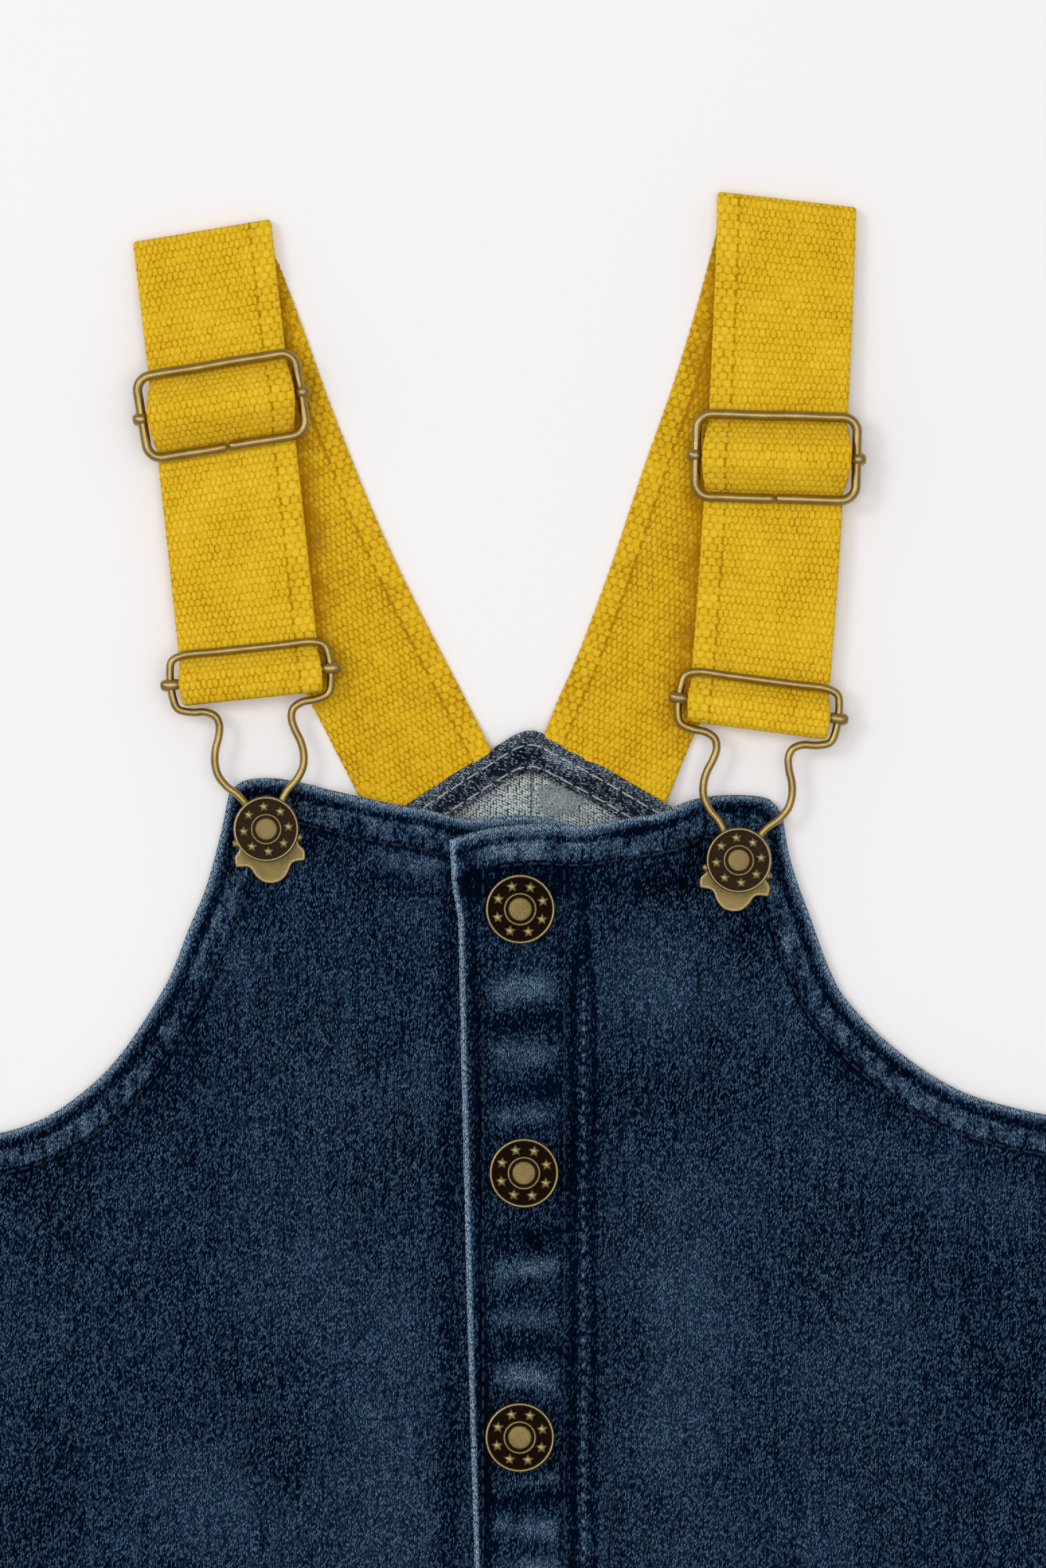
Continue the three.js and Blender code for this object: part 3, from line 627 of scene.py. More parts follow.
def new_piece(
    name: str,
    points: np.ndarray,
    faces: Sequence[Sequence[int]],
    materials: Sequence[Material],
    slot: Slot,
    numbers: dict[str, np.ndarray] | None = None,
    face_materials: np.ndarray | None = None,
) -> bpy.types.Object:
    """Makes a piece of the garment that rides on the root.

    Args:
        name: the piece's name.
        points: places in millimetres.
        faces: corner numbers of each face.
        materials: its materials.
        slot: the record's slot that its finish comes from; not used.
        numbers: point attributes by name, of one or three columns.
        face_materials: each face's material number.

    Returns:
        The new object.
    """
    mesh = bpy.data.meshes.new(name)
    mesh.from_pydata((np.asarray(points) * MM).tolist(), [], [tuple(face) for face in faces])
    for material in materials:
        mesh.materials.append(material)
    for key, values in (numbers or {}).items():
        is_vector = values.ndim == 2
        layer = mesh.attributes.new(key, "FLOAT_VECTOR" if is_vector else "FLOAT", "POINT")
        layer.data.foreach_set("vector" if is_vector else "value", values.astype(np.float32).ravel())
    if face_materials is not None:
        mesh.polygons.foreach_set("material_index", face_materials.astype(np.int32))
    mesh.polygons.foreach_set("use_smooth", np.full(len(mesh.polygons), True))
    mesh.validate()
    mesh.update()
    piece = bpy.data.objects.new(name, mesh)
    bpy.context.scene.collection.objects.link(piece)
    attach(piece, "root")
    log.info("%s: %d points, %d faces", name, len(mesh.vertices), len(mesh.polygons))
    return piece


class MeshParts:
    """Several closed shapes gathered into one mesh."""

    def __init__(self) -> None:
        """Starts with nothing."""
        self.points: list[np.ndarray] = []
        self.faces: Faces = []
        self.recess: list[np.ndarray] = []
        self.count = 0

    def add(
        self, points: np.ndarray, faces: Sequence[Sequence[int]], recess: np.ndarray | float = 0.0
    ) -> None:
        """Adds a shape, with how sunk and stained each of its points is."""
        self.points.append(np.asarray(points, dtype=float))
        self.faces.extend(tuple(int(i) + self.count for i in face) for face in faces)
        self.recess.append(np.broadcast_to(recess, (len(points),)).astype(float))
        self.count += len(points)

    def piece(self, name: str, material: Material, slot: Slot) -> bpy.types.Object:
        """Makes the object."""
        numbers = {"recess": np.concatenate(self.recess)}
        return new_piece(name, np.vstack(self.points), self.faces, [material], slot, numbers)


def ring_faces(rows: int, sides: int, is_flipped: bool = False) -> Faces:
    """Joins rings of points into a closed tube.

    Args:
        rows: how many rings it has.
        sides: how many points each ring has.
        is_flipped: whether its rings run the other way round.

    Returns:
        Its faces, with the two end caps last.
    """
    faces = []
    for i in range(rows - 1):
        for k in range(sides):
            n = (k + 1) % sides
            quad = (i * sides + k, (i + 1) * sides + k, (i + 1) * sides + n, i * sides + n)
            faces.append((quad[0], *quad[:0:-1]) if is_flipped else quad)
    caps = (tuple(range(sides)), tuple(reversed(range((rows - 1) * sides, rows * sides))))
    return faces + [cap[::-1] if is_flipped else cap for cap in caps]


def tube(path: np.ndarray, radius: np.ndarray | float, sides: int) -> tuple[np.ndarray, Faces]:
    """A round tube with closed ends.

    Args:
        path: points of its centreline, three columns.
        radius: its radius, or one for each point.
        sides: how many sides its section has.

    Returns:
        Its points and faces.
    """
    tangents = unit(np.gradient(path, axis=0))
    up = np.array([0.0, 0.0, 1.0])
    if np.abs(tangents @ up).max() > 0.98:
        up = np.array([0.3, 0.9, 0.2])
    sideways = unit(np.cross(tangents, up))
    lift = np.cross(sideways, tangents)
    radii = np.broadcast_to(radius, (len(path),)).astype(float)
    angles = (2 * math.pi * np.arange(sides) / sides)[None, :, None]
    ring = np.cos(angles) * sideways[:, None, :] + np.sin(angles) * lift[:, None, :]
    points = (path[:, None, :] + radii[:, None, None] * ring).reshape(-1, 3)
    return points, ring_faces(len(path), sides)


def lathe(profile: Sequence[Sequence[float]], sides: int) -> tuple[np.ndarray, Faces]:
    """A turned shape about Z.

    Args:
        profile: radius and height pairs, from the axis at the bottom to the axis at the top.
        sides: how many sides it has.

    Returns:
        Its points and faces.
    """
    rows = np.array(profile, dtype=float)
    angles = 2 * math.pi * np.arange(sides) / sides
    inner = rows[1:-1]
    around = np.stack([np.cos(angles), np.sin(angles)], axis=1)
    heights = np.broadcast_to(inner[:, None, 1:], (len(inner), sides, 1))
    body = np.concatenate([inner[:, None, :1] * around[None], heights], axis=2).reshape(-1, 3)
    points = np.vstack([body, [0, 0, rows[0, 1]], [0, 0, rows[-1, 1]]])
    bottom, top = len(points) - 2, len(points) - 1
    faces: Faces = []
    last = (len(inner) - 1) * sides
    for k in range(sides):
        n = (k + 1) % sides
        faces.append((bottom, n, k))
        faces.append((top, last + k, last + n))
        for i in range(len(inner) - 1):
            faces.append((i * sides + k, i * sides + n, (i + 1) * sides + n, (i + 1) * sides + k))
    return points, faces


def seated(points: np.ndarray, place: Sequence[float], degrees: float) -> np.ndarray:
    """Points turned about Z and moved to a place."""
    angle = math.radians(degrees)
    turn = np.array([[math.cos(angle), -math.sin(angle)], [math.sin(angle), math.cos(angle)]])
    moved = np.array(points, dtype=float)
    moved[:, :2] = moved[:, :2] @ turn.T
    moved[:, :2] += np.array(place)
    return moved


def shell(
    points: np.ndarray, triangles: np.ndarray, upper: np.ndarray, lower: np.ndarray, is_edge: np.ndarray
) -> tuple[np.ndarray, np.ndarray]:
    """Closes a sheet.

    Args:
        points: its points, two columns.
        triangles: its triangles.
        upper: height of the upper face at each point.
        lower: height of the lower face at each point.
        is_edge: whether both faces share a point.

    Returns:
        The shell's points and faces.
    """
    below = np.where(is_edge, np.arange(len(points)), np.cumsum(~is_edge) - 1 + len(points))
    places = np.vstack([np.column_stack([points, upper]), np.column_stack([points, lower])[~is_edge]])
    return places, np.vstack([triangles, below[triangles][:, ::-1]])


@dataclass
class ClothCut:
    """A flat cut of cloth: its edges in order, its holes and how finely it is divided."""

    edges: dict[str, np.ndarray]
    spacing: float = 3.2
    fine_spacing: float = 1.6
    fine_zone: tuple[float, float, float, float] | None = None
    holes: tuple[tuple[float, float, float], ...] = ()
    insets: tuple[float, ...] = (0.12, 0.4, 0.85, 1.4, 2.1, 3.0, 4.4, 6.4, 8.6, 9.4, 10.1, 10.8, 12.0)
    hole_sides: int = 20

    def outline(self) -> np.ndarray:
        """The closed outline, anticlockwise."""
        line = np.vstack([edge[:-1] for edge in self.edges.values()])
        area = 0.5 * np.sum(line[:, 0] * np.roll(line[:, 1], -1) - np.roll(line[:, 0], -1) * line[:, 1])
        return line if area > 0 else line[::-1]

    def distances(self, points: np.ndarray) -> dict[str, np.ndarray]:
        """The distance of each point from each edge."""
        return {name: line_distance(points, edge) for name, edge in self.edges.items()}

    def _lattice(self, outline: np.ndarray) -> np.ndarray:
        """Places in staggered rows inside the cut, closer together in its fine zone."""
        low, high = outline.min(axis=0), outline.max(axis=0)
        rows = []
        spacings = [self.spacing] if self.fine_zone is None else [self.spacing, self.fine_spacing]
        for k, spacing in enumerate(spacings):
            pitch = spacing * 0.87
            ys = np.arange(low[1], high[1], pitch)
            for j, y in enumerate(ys):
                xs = np.arange(low[0] + (j % 2) * spacing / 2, high[0], spacing)
                row = level(xs, y)
                if self.fine_zone is not None:
                    x0, y0, x1, y1 = self.fine_zone
                    is_fine = (row[:, 0] > x0) & (row[:, 0] < x1) & (row[:, 1] > y0) & (row[:, 1] < y1)
                    row = row[is_fine if k else ~is_fine]
                rows.append(row)
        points = np.vstack(rows)
        return points[is_inside(points, outline)]

    def triangles(self) -> tuple[np.ndarray, np.ndarray, np.ndarray]:
        """Divides the cut.

        Returns:
            Its points, its triangles and each point's distance from the nearest edge or hole.
        """
        outline = self.outline()
        closed = np.vstack([outline, outline[:1]])
        following = np.roll(outline, -1, axis=0) - np.roll(outline, 1, axis=0)
        inward = unit(np.stack([-following[:, 1], following[:, 0]], axis=1))
        rings = []
        for k, inset in enumerate(self.insets):
            ring = outline + inward * inset
            ring = ring[k % 2 :: 2] if inset > 3.0 else ring
            ring = ring[line_distance(ring, closed) > inset - 0.03 - 0.02 * inset]
            rings.append(ring[is_inside(ring, outline)])
        lattice = self._lattice(outline)
        lattice = lattice[line_distance(lattice, closed) > self.insets[-1] + 0.7]
        inner = np.vstack([*rings, lattice])
        loops = []
        sides = self.hole_sides
        angles = 2 * math.pi * np.arange(sides) / sides
        circle = np.stack([np.cos(angles), np.sin(angles)], axis=1)
        for x, y, radius in self.holes:
            inner = inner[np.hypot(inner[:, 0] - x, inner[:, 1] - y) > radius + 1.3]
            loops.append(np.array([x, y]) + radius * circle)
            for more in (0.15, 0.5):
                inner = np.vstack([inner, np.array([x, y]) + (radius + more) * circle])
        points = np.vstack([outline, *loops, inner])
        count = len(outline)
        edges = []
        for i in range(len(loops)):
            start = count + sides * i
            edges.extend((start + k, start + (k + 1) % sides) for k in range(sides))
        vertices, _, faces, _, _, _ = geometry.delaunay_2d_cdt(
            [Vector(point) for point in points], edges, [list(range(count))], 1, 1e-5
        )
        points = np.array([tuple(vertex) for vertex in vertices])
        triangles = np.array([face for face in faces if len(face) == 3])
        centres = points[triangles].mean(axis=1)
        kept = np.ones(len(triangles), dtype=bool)
        for x, y, radius in self.holes:
            kept &= np.hypot(centres[:, 0] - x, centres[:, 1] - y) > radius * 0.97
        triangles = triangles[kept]
        used, triangles = np.unique(triangles, return_inverse=True)
        points = points[used]
        depth = line_distance(points, closed)
        for x, y, radius in self.holes:
            depth = np.minimum(depth, np.abs(np.hypot(points[:, 0] - x, points[:, 1] - y) - radius))
        depth[depth < 0.02] = 0.0
        return points, triangles.reshape(-1, 3), depth

    def piece(
        self,
        name: str,
        heights: Callable[[np.ndarray], Heights],
        top: Material,
        bottom: Material,
        lap: Callable[[np.ndarray], np.ndarray] | None = None,
    ) -> bpy.types.Object:
        """Makes a closed shell with turned edges.

        Args:
            name: the piece's name.
            heights: gives each point's lower height, upper height and tone, which is lighter with wear and
                darker with painted shade.
            top: material of the upper face.
            bottom: material of the lower face.
            lap: gives each point's distance from a folded edge that is not a hem.

        Returns:
            The new object.
        """
        points, triangles, depth = self.triangles()
        low, high, fade = heights(points)
        half = (high - low) / 2
        middle = low + half
        share = np.clip(depth / np.maximum(half * 1.1, 1e-6), 0.0, 1.0)
        rounding = np.sqrt(np.maximum(1.0 - (1.0 - share) ** 2, 0.0))
        is_edge = depth == 0.0
        upper = middle + (high - middle) * rounding
        places, faces = shell(points, triangles, upper, middle - (middle - low) * rounding, is_edge)
        corners = places[triangles]
        normals = np.cross(corners[:, 1] - corners[:, 0], corners[:, 2] - corners[:, 0])
        if normals[:, 2].mean() < 0:
            faces = faces[:, ::-1]
        keep = np.tile(~is_edge[triangles].all(axis=1), 2)
        kinds = np.repeat([0, 1], len(triangles))
        far = np.full(len(points), FAR)
        near = self.distances(points)
        edge = np.minimum.reduce([near.get(edge, far) for edge in ("neck", "armhole", "hem")] + [far])
        marks = {"fade": fade, "edge": edge, "lap": far if lap is None else lap(points)}
        marks = {key: np.concatenate([values, values[~is_edge]]) for key, values in marks.items()}
        return new_piece(name, places, faces[keep].tolist(), [top, bottom], Slot.DENIM, marks, kinds[keep])


@dataclass(frozen=True)
class Fold:
    """A soft ridge or trough between two points: a worn crest is lighter than the cloth round it, and a
    trough is darker with painted shade.
    """

    start: tuple[float, float]
    end: tuple[float, float]
    width: float
    height: float
    fade: float = 0.0
    bow: float = 0.0

    def weight(self, points: np.ndarray) -> np.ndarray:
        """How strongly the fold shows at each point."""
        start = np.array(self.start)
        along = np.array(self.end) - start
        length = float(np.linalg.norm(along))
        along /= length
        offset = points - start
        t = (offset @ along) / length
        bowed = self.bow * 4.0 * np.clip(t, 0, 1) * (1.0 - np.clip(t, 0, 1))
        across = offset @ np.array([-along[1], along[0]]) - bowed
        ends = smooth_step(-0.12, 0.3, t) * (1.0 - smooth_step(0.7, 1.12, t))
        return np.exp(-((across / self.width) ** 2)) * ends


def folded(folds: Sequence[Fold], points: np.ndarray) -> tuple[np.ndarray, np.ndarray]:
    """The height that folds add at each point, with lighter wear on their crests and painted shade in their
    troughs.
    """
    height = np.zeros(len(points))
    fade = np.zeros(len(points))
    for fold in folds:
        weight = fold.weight(points)
        height += fold.height * weight
        fade += fold.fade * weight
    return height, fade


@dataclass(frozen=True)
class Stitching:
    """A row of stitches along a line on the cloth."""

    length: float = 2.3
    gap: float = 0.7
    radius: float = 0.21
    sides: int = 6

    def piece(
        self,
        name: str,
        lines: Sequence[np.ndarray],
        surface: Callable[[np.ndarray], np.ndarray],
        material: Material,
    ) -> bpy.types.Object:
        """Makes the stitches.

        Args:
            name: the piece's name.
            lines: points that each row follows, two columns.
            surface: gives the height of the cloth at points.
            material: the thread's finish.

        Returns:
            The new object.
        """
        parts = MeshParts()
        chance = random.Random(len(name))
        shares = np.array([0.0, 0.04, 0.16, 0.5, 0.84, 0.96, 1.0])
        sunk = np.array([-0.9, -0.5, 0.1, 0.5, 0.1, -0.5, -0.9])
        radii = np.array([0.3, 0.7, 1.0, 1.0, 1.0, 0.7, 0.3]) * self.radius
        for line in lines:
            steps = run_lengths(line)
            start = self.gap / 2
            while start + self.length < steps[-1]:
                at = start + self.length * shares + chance.uniform(-0.1, 0.1)
                path = np.column_stack([np.interp(at, steps, line[:, k]) for k in (0, 1)])
                path[:, 0] += chance.uniform(-0.05, 0.05)
                height = surface(path) + self.radius * sunk
                parts.add(*tube(np.column_stack([path, height]), radii, self.sides))
                start += self.length + self.gap
        return parts.piece(name, material, Slot.DENIM)


@dataclass(frozen=True)
class Pattern:
    """Sizes that the panels share, as in the CAD part."""

    seam_gap: float = 0.3
    denim: float = 1.2
    facing: float = 1.0
    strap: float = 1.4
    hem_y: float = -334.0
    crotch_y: float = -84.0
    placket_end_y: float = -20.0
    placket_top_gap: float = 1.2
    neck_start_y: float = 172.0
    leg_gap: float = 17.0
    underlap_x: float = 10.0
    placket_x: float = 13.0
    peak_x: float = 2.2
    peak_y: float = 217.8
    facing_width: float = 7.8
    facing_left: float = 35.0
    facing_right: float = 33.0
    facing_rise: float = 0.56
    side_seam: Table = (
        (-334.0, 137.0), (-290.0, 139.6), (-240.0, 142.6), (-180.0, 146.4), (-130.0, 148.4),
        (-84.0, 148.0), (-40.0, 144.5), (0.0, 140.0), (45.0, 133.8), (90.0, 128.4),
    )
    front_armholes: dict[Side, Table] = field(
        default_factory=lambda: {
            Side.LEFT: (
                (129.6, 125.0), (130.7, 113.1), (134.2, 102.9), (140.5, 93.9), (146.8, 87.6),
                (155.6, 81.4), (164.1, 76.4), (174.7, 72.2), (184.1, 68.6), (196.3, 65.6), (207.5, 63.4),
            ),
            Side.RIGHT: (
                (133.6, 125.0), (134.7, 113.1), (138.8, 97.1), (142.0, 90.3), (146.4, 83.6),
                (152.0, 76.8), (157.3, 71.7), (161.7, 68.3), (170.0, 64.6), (178.1, 61.9), (186.6, 59.3),
                (195.1, 57.3), (203.7, 56.1),
            ),
        }
    )
    back_armholes: dict[Side, Table] = field(
        default_factory=lambda: {
            Side.LEFT: (
                (129.2, 124.0), (131.0, 109.0), (137.0, 94.0), (145.5, 78.0), (156.0, 64.0),
                (167.0, 54.0), (178.0, 46.0), (187.0, 41.0), (194.6, 37.5),
            ),
            Side.RIGHT: (
                (133.2, 124.0), (134.2, 108.0), (139.0, 90.0), (147.0, 74.0), (157.0, 60.0),
                (168.0, 50.0), (180.0, 42.0), (190.0, 38.0), (198.4, 35.0),
            ),
        }
    )
    necklines: dict[Side, Table] = field(
        default_factory=lambda: {
            Side.LEFT: (
                (10.0, 197.2), (7.0, 198.3), (3.0, 199.1), (-2.0, 199.3), (-11.4, 198.6), (-21.5, 200.8),
                (-28.3, 201.9), (-35.1, 203.4), (-41.9, 204.9), (-47.8, 206.4), (-54.6, 207.4),
                (-60.5, 206.7), (-63.4, 204.4),
            ),
            Side.RIGHT: (
                (-15.8, 194.0), (-11.4, 195.6), (-4.6, 197.0), (3.9, 197.6), (12.4, 197.2), (22.5, 198.8),
                (29.3, 199.9), (36.1, 202.6), (42.0, 203.6), (48.0, 203.7), (53.4, 202.7), (56.1, 199.3),
            ),
        }
    )
    overlap_edge: Table = (
        (-20.0, -9.6), (36.0, -10.4), (90.0, -12.0), (150.0, -13.4), (178.0, -14.0), (188.0, -15.2),
        (204.0, -15.8),
    )
    placket_buttons: Table = ((-0.6, 179.2), (0.2, 122.5), (-0.7, 65.7), (-0.2, 9.0))
    bib_buttons: dict[Side, tuple[float, float]] = field(
        default_factory=lambda: {Side.LEFT: (-55.2, 196.4), Side.RIGHT: (46.4, 189.7)}
    )

    peak_edge: Table = (
        (-36.0, 195.2), (-23.4, 202.9), (-15.1, 208.3), (-6.9, 213.6), (-4.1, 215.4), (-1.4, 217.0),
        (0.9, 217.7), (2.4, 217.75), (4.2, 217.1), (7.5, 215.3), (10.8, 213.5), (14.3, 211.6),
        (24.0, 206.0), (36.0, 199.0),
    )

    def peak_top(self, x: np.ndarray) -> np.ndarray:
        """Height along the body of the back peak's rounded edge."""
        line = smooth_curve(self.peak_edge, 0.8)
        return np.interp(x, line[:, 0], line[:, 1])

    def slope_line(self, x: np.ndarray) -> np.ndarray:
        """Height along the body of the back peak's edge."""
        return self.peak_y - self.facing_rise * np.abs(np.asarray(x) - self.peak_x)

    def inner_leg(self, y: np.ndarray) -> np.ndarray:
        """Distance of a leg's inner seam from the middle."""
        down = np.clip((self.crotch_y - np.asarray(y)) / (self.crotch_y - self.hem_y), 0.0, 1.0)
        return self.seam_gap / 2 + (self.leg_gap - self.seam_gap / 2) * down**0.85

    def front_rest(self, x: np.ndarray, y: np.ndarray) -> np.ndarray:
        """Lower height of the front cloth that lies on the back and the strap ends."""
        over_tacks = 1.3 * (1.0 - smooth_step(16.0, 30.0, np.abs(x))) * smooth_step(-44.0, -26.0, y)
        foot = self.slope_line(x) - self.facing_width * math.hypot(1.0, self.facing_rise) - 2.0
        rise = np.clip((y - (foot - 5.5)) / 5.5, 0.0, 1.0)
        over_straps = 3.25 * plateau(-37.0, 34.5, 4.2, x) * rise * rise * (3.0 - 2.0 * rise)
        return self.denim + self.seam_gap + np.maximum(over_tacks, over_straps)

    def overlap_rest(self, x: np.ndarray, y: np.ndarray) -> np.ndarray:
        """Lower height of the right front, which lies on the underlap and the placket."""
        layers = self.denim + self.facing + 2 * self.seam_gap
        across = 1.0 - smooth_step(self.placket_x + 0.6, self.placket_x + 9.0, x)
        return self.front_rest(x, y) + layers * across * smooth_step(-44.0, -26.0, y)

    def inner_edge(self, side: Side, y: np.ndarray) -> np.ndarray:
        """Across place of a front's inner edge."""
        overlapped = smooth_step(self.placket_end_y - 4.0, self.placket_end_y, y)
        leg = side.sign * self.inner_leg(y)
        top = self.underlap_x if side is Side.LEFT else read_table(self.overlap_edge, y)
        return leg + (top - leg) * overlapped


def puckers(rows: Sequence[tuple[float, float, float, float, float]]) -> tuple[Fold, ...]:
    """Folds across the placket from rows of height, tilt, width, rise and tone; the tone is lighter wear on a
    crest and painted shade in a trough.
    """
    return tuple(
        Fold((-8.6, y - tilt), (9.6, y + tilt), width, rise, fade, bow=tilt * 0.6)
        for y, tilt, width, rise, fade in rows
    )


@dataclass
class FrontPanel:
    """One front of the dungarees, from its hem to the bib."""

    side: Side
    pattern: Pattern
    finishes: Finishes
    hem_band: float = 9.6
    placket_edge: float = 13.6
    placket_rows: tuple[float, float] = (-8.6, 8.9)
    puckers: tuple[Fold, ...] = puckers(
        (
            (161.6, 0.8, 3.2, 0.42, 0.62), (154.2, 1.2, 2.3, -0.35, -0.45), (148.6, -0.7, 2.9, 0.36, 0.5),
            (139.4, 0.5, 2.4, -0.32, -0.42), (134.4, 0.9, 2.2, 0.3, 0.42),
            (108.6, -0.6, 2.6, -0.35, -0.4), (100.9, 1.4, 2.0, 0.38, 0.6), (91.2, -0.4, 2.5, 0.35, 0.42),
            (84.6, 0.7, 1.9, -0.3, -0.38), (79.0, -1.1, 2.7, 0.4, 0.6), (55.8, 0.9, 1.9, 0.3, 0.4),
            (52.2, 0.4, 1.7, -0.3, -0.35), (46.3, -0.8, 2.3, 0.36, 0.55), (37.0, 0.6, 2.6, 0.3, 0.45),
            (31.0, 1.1, 2.0, -0.3, -0.4), (24.0, -0.5, 2.4, 0.34, 0.4), (-6.0, 0.8, 2.6, 0.3, 0.35),
        )
    )
    creases: dict[Side, Creases] = field(
        default_factory=lambda: {
            Side.LEFT: (
                (-34.5, 190.8, -16.5, 188.4, 1.7, 0.55, 0.7, -0.8),
                (-40.0, 185.6, -17.0, 183.4, 2.2, -0.35, -0.32),
                (-30.0, 194.8, -16.0, 192.6, 1.6, -0.35, -0.45),
                (-50.0, 205.0, -24.0, 198.6, 2.0, 0.25, 0.3),
                (-60.0, 176.0, -72.0, 150.0, 3.0, 0.35, 0.25, 1.5),
                (-66.0, 170.0, -84.0, 140.0, 2.6, -0.35, -0.3, 2.0),
                (-24.0, 120.0, -40.0, -20.0, 9.0, 0.45, 0.1, 4.0),
                (-104.0, 112.0, -86.0, 20.0, 8.0, -0.35, -0.08, -5.0),
                (-14.0, -84.0, -60.0, -52.0, 4.5, 1.3, 0.3, 2.0),
                (-10.0, -92.0, -66.0, -84.0, 4.0, -0.7, -0.22),
                (-12.0, -100.0, -50.0, -128.0, 4.5, 1.1, 0.26, -2.5),
                (-60.0, -170.0, -120.0, -196.0, 7.0, 1.1, 0.24, 3.0),
                (-40.0, -206.0, -96.0, -198.0, 6.0, -0.7, -0.2, 2.0),
                (-50.0, -236.0, -118.0, -262.0, 8.0, 0.9, 0.2, -3.0),
            ),
            Side.RIGHT: (
                (-15.0, 192.6, 24.0, 196.2, 2.2, 0.1, 0.5), (-4.0, 190.6, -3.0, 197.0, 1.1, -0.2, -0.4),
                (6.2, 191.2, 7.4, 197.6, 1.2, -0.25, -0.45), (14.8, 192.0, 16.4, 198.2, 1.1, -0.2, -0.4),
                (18.5, 189.6, 36.0, 191.8, 1.6, 0.4, 0.45, 0.9),
                (19.0, 182.5, 40.0, 186.0, 2.5, -0.4, -0.32), (18.0, 194.6, 30.0, 196.2, 1.5, -0.35, -0.4),
                (26.0, 198.5, 44.0, 201.4, 1.8, 0.25, 0.28),
                (53.0, 172.0, 64.0, 148.0, 3.0, 0.35, 0.22, -1.5),
                (58.0, 166.0, 78.0, 136.0, 2.6, -0.35, -0.28, -2.0),
                (32.0, 128.0, 46.0, -10.0, 10.0, 0.5, 0.1, -4.0),
                (98.0, 118.0, 90.0, 8.0, 8.0, -0.35, -0.08, 4.0),
                (12.0, -82.0, 64.0, -46.0, 5.0, 1.25, 0.28, -2.0),
                (10.0, -94.0, 58.0, -88.0, 4.0, -0.7, -0.22),
                (14.0, -104.0, 56.0, -136.0, 4.5, 1.0, 0.26, 2.5),
                (52.0, -160.0, 124.0, -182.0, 7.5, 1.1, 0.24, -3.0),
                (44.0, -214.0, 104.0, -222.0, 6.5, -0.7, -0.2, -2.0),
                (60.0, -250.0, 122.0, -240.0, 8.0, 0.9, 0.2, 3.0),
            ),
        }
    )

    def _buttons(self) -> tuple[tuple[float, float], ...]:
        """Places of the buttons whose posts pass through this front."""
        return (*self.pattern.placket_buttons, self.pattern.bib_buttons[self.side])

    def _folds(self) -> list[Fold]:
        """The main creases of this front."""
        return [Fold(row[:2], row[2:4], *row[4:]) for row in self.creases[self.side]]

    def __post_init__(self) -> None:
        """Works out the outline's edges."""
        pattern = self.pattern
        sign = self.side.sign
        rows = [(side, y) for y, side in pattern.side_seam]
        rows += [(side, y) for y, side in pattern.front_armholes[self.side]]
        outer = smooth_curve(rows, 2.0)
        corner = pattern.front_armholes[self.side][-1][0]
        ys = np.linspace(pattern.hem_y, corner, 272)
        inner = np.column_stack([pattern.inner_edge(self.side, ys), ys])
        outer[:, 0] *= sign
        for line in (inner, outer):
            drop = corner - read_table(pattern.necklines[self.side], line[:, 0])
            line[:, 1] -= drop * smooth_step(pattern.neck_start_y, corner, line[:, 1])
        neck = smooth_curve(pattern.necklines[self.side], 2.0)
        neck[0] = inner[-1]
        neck[-1] = outer[-1]
        split = int(np.argmax(outer[:, 1] > 100.0))
        hem = level(np.linspace(outer[0, 0], inner[0, 0], 61), pattern.hem_y)
        self.edges = {
            "inner": inner,
            "neck": neck,
            "armhole": outer[split:][::-1],
            "side": outer[: split + 1][::-1],
            "hem": hem,
        }
        self.cut = ClothCut(
            self.edges,
            fine_zone=(-18.0, -30.0, 20.0, 190.0),
            holes=tuple((*place, BUTTONHOLE_RADIUS) for place in self._buttons()),
        )

    def heights(self, points: np.ndarray) -> Heights:
        """Lower height, upper height and tone of the cloth at points: lighter where worn, darker with painted
        shade.
        """
        pattern = self.pattern
        x, y = points[:, 0], points[:, 1]
        is_left = self.side is Side.LEFT
        low = pattern.front_rest(x, y) if is_left else pattern.overlap_rest(x, y)
        near = self.cut.distances(points)
        hemmed = np.minimum(near["neck"], near["armhole"])
        edge = np.minimum(hemmed, near["hem"])
        on_placket = plateau(-20.0, self.placket_edge, 1.2, x) * smooth_step(-26.0, -20.0, y)
        overlap = near["inner"] if not is_left else np.full(len(points), 99.0)
        overlap = np.where(y > pattern.placket_end_y - 3.0, overlap, 99.0)
        fine = mottle(points, 3.5, 3.0 + self.side.sign)
        wide = mottle(points, 30.0, 9.0 + self.side.sign)
        raised = 0.32 * (1.0 - smooth_step(self.hem_band - 0.8, self.hem_band + 0.6, edge))
        rolled = 0.3 * bell(1.3, 1.1, edge) + 0.26 * bell(1.2, 1.0, overlap)
        grooves = 0.2 * bell(self.hem_band - 1.0, 0.7, edge)
        # Painted shade: a dark band just inside the raised hem band.
        fade = -0.2 * bell(self.hem_band + 2.6, 3.0, hemmed)
        rope = mottle(points * np.array([1.0, 0.45]), 2.7, 31.0)
        band = plateau(3.6, 7.8, 1.3, hemmed) * (0.6 + 0.4 * (near["neck"] < near["armhole"]))
        fade += 0.2 * rope * band
        near_placket = bell(-2.0, 17.0, x) * (near["neck"] < 12.0)
        fade += (0.45 * bell(2.0, 1.4, near["neck"]) + 0.5 * bell(6.0, 1.4, near["neck"])) * near_placket
        # Painted shade: a dark line between the two worn lines along the neck by the placket.
        fade -= 0.5 * bell(3.9, 0.5, near["neck"]) * near_placket
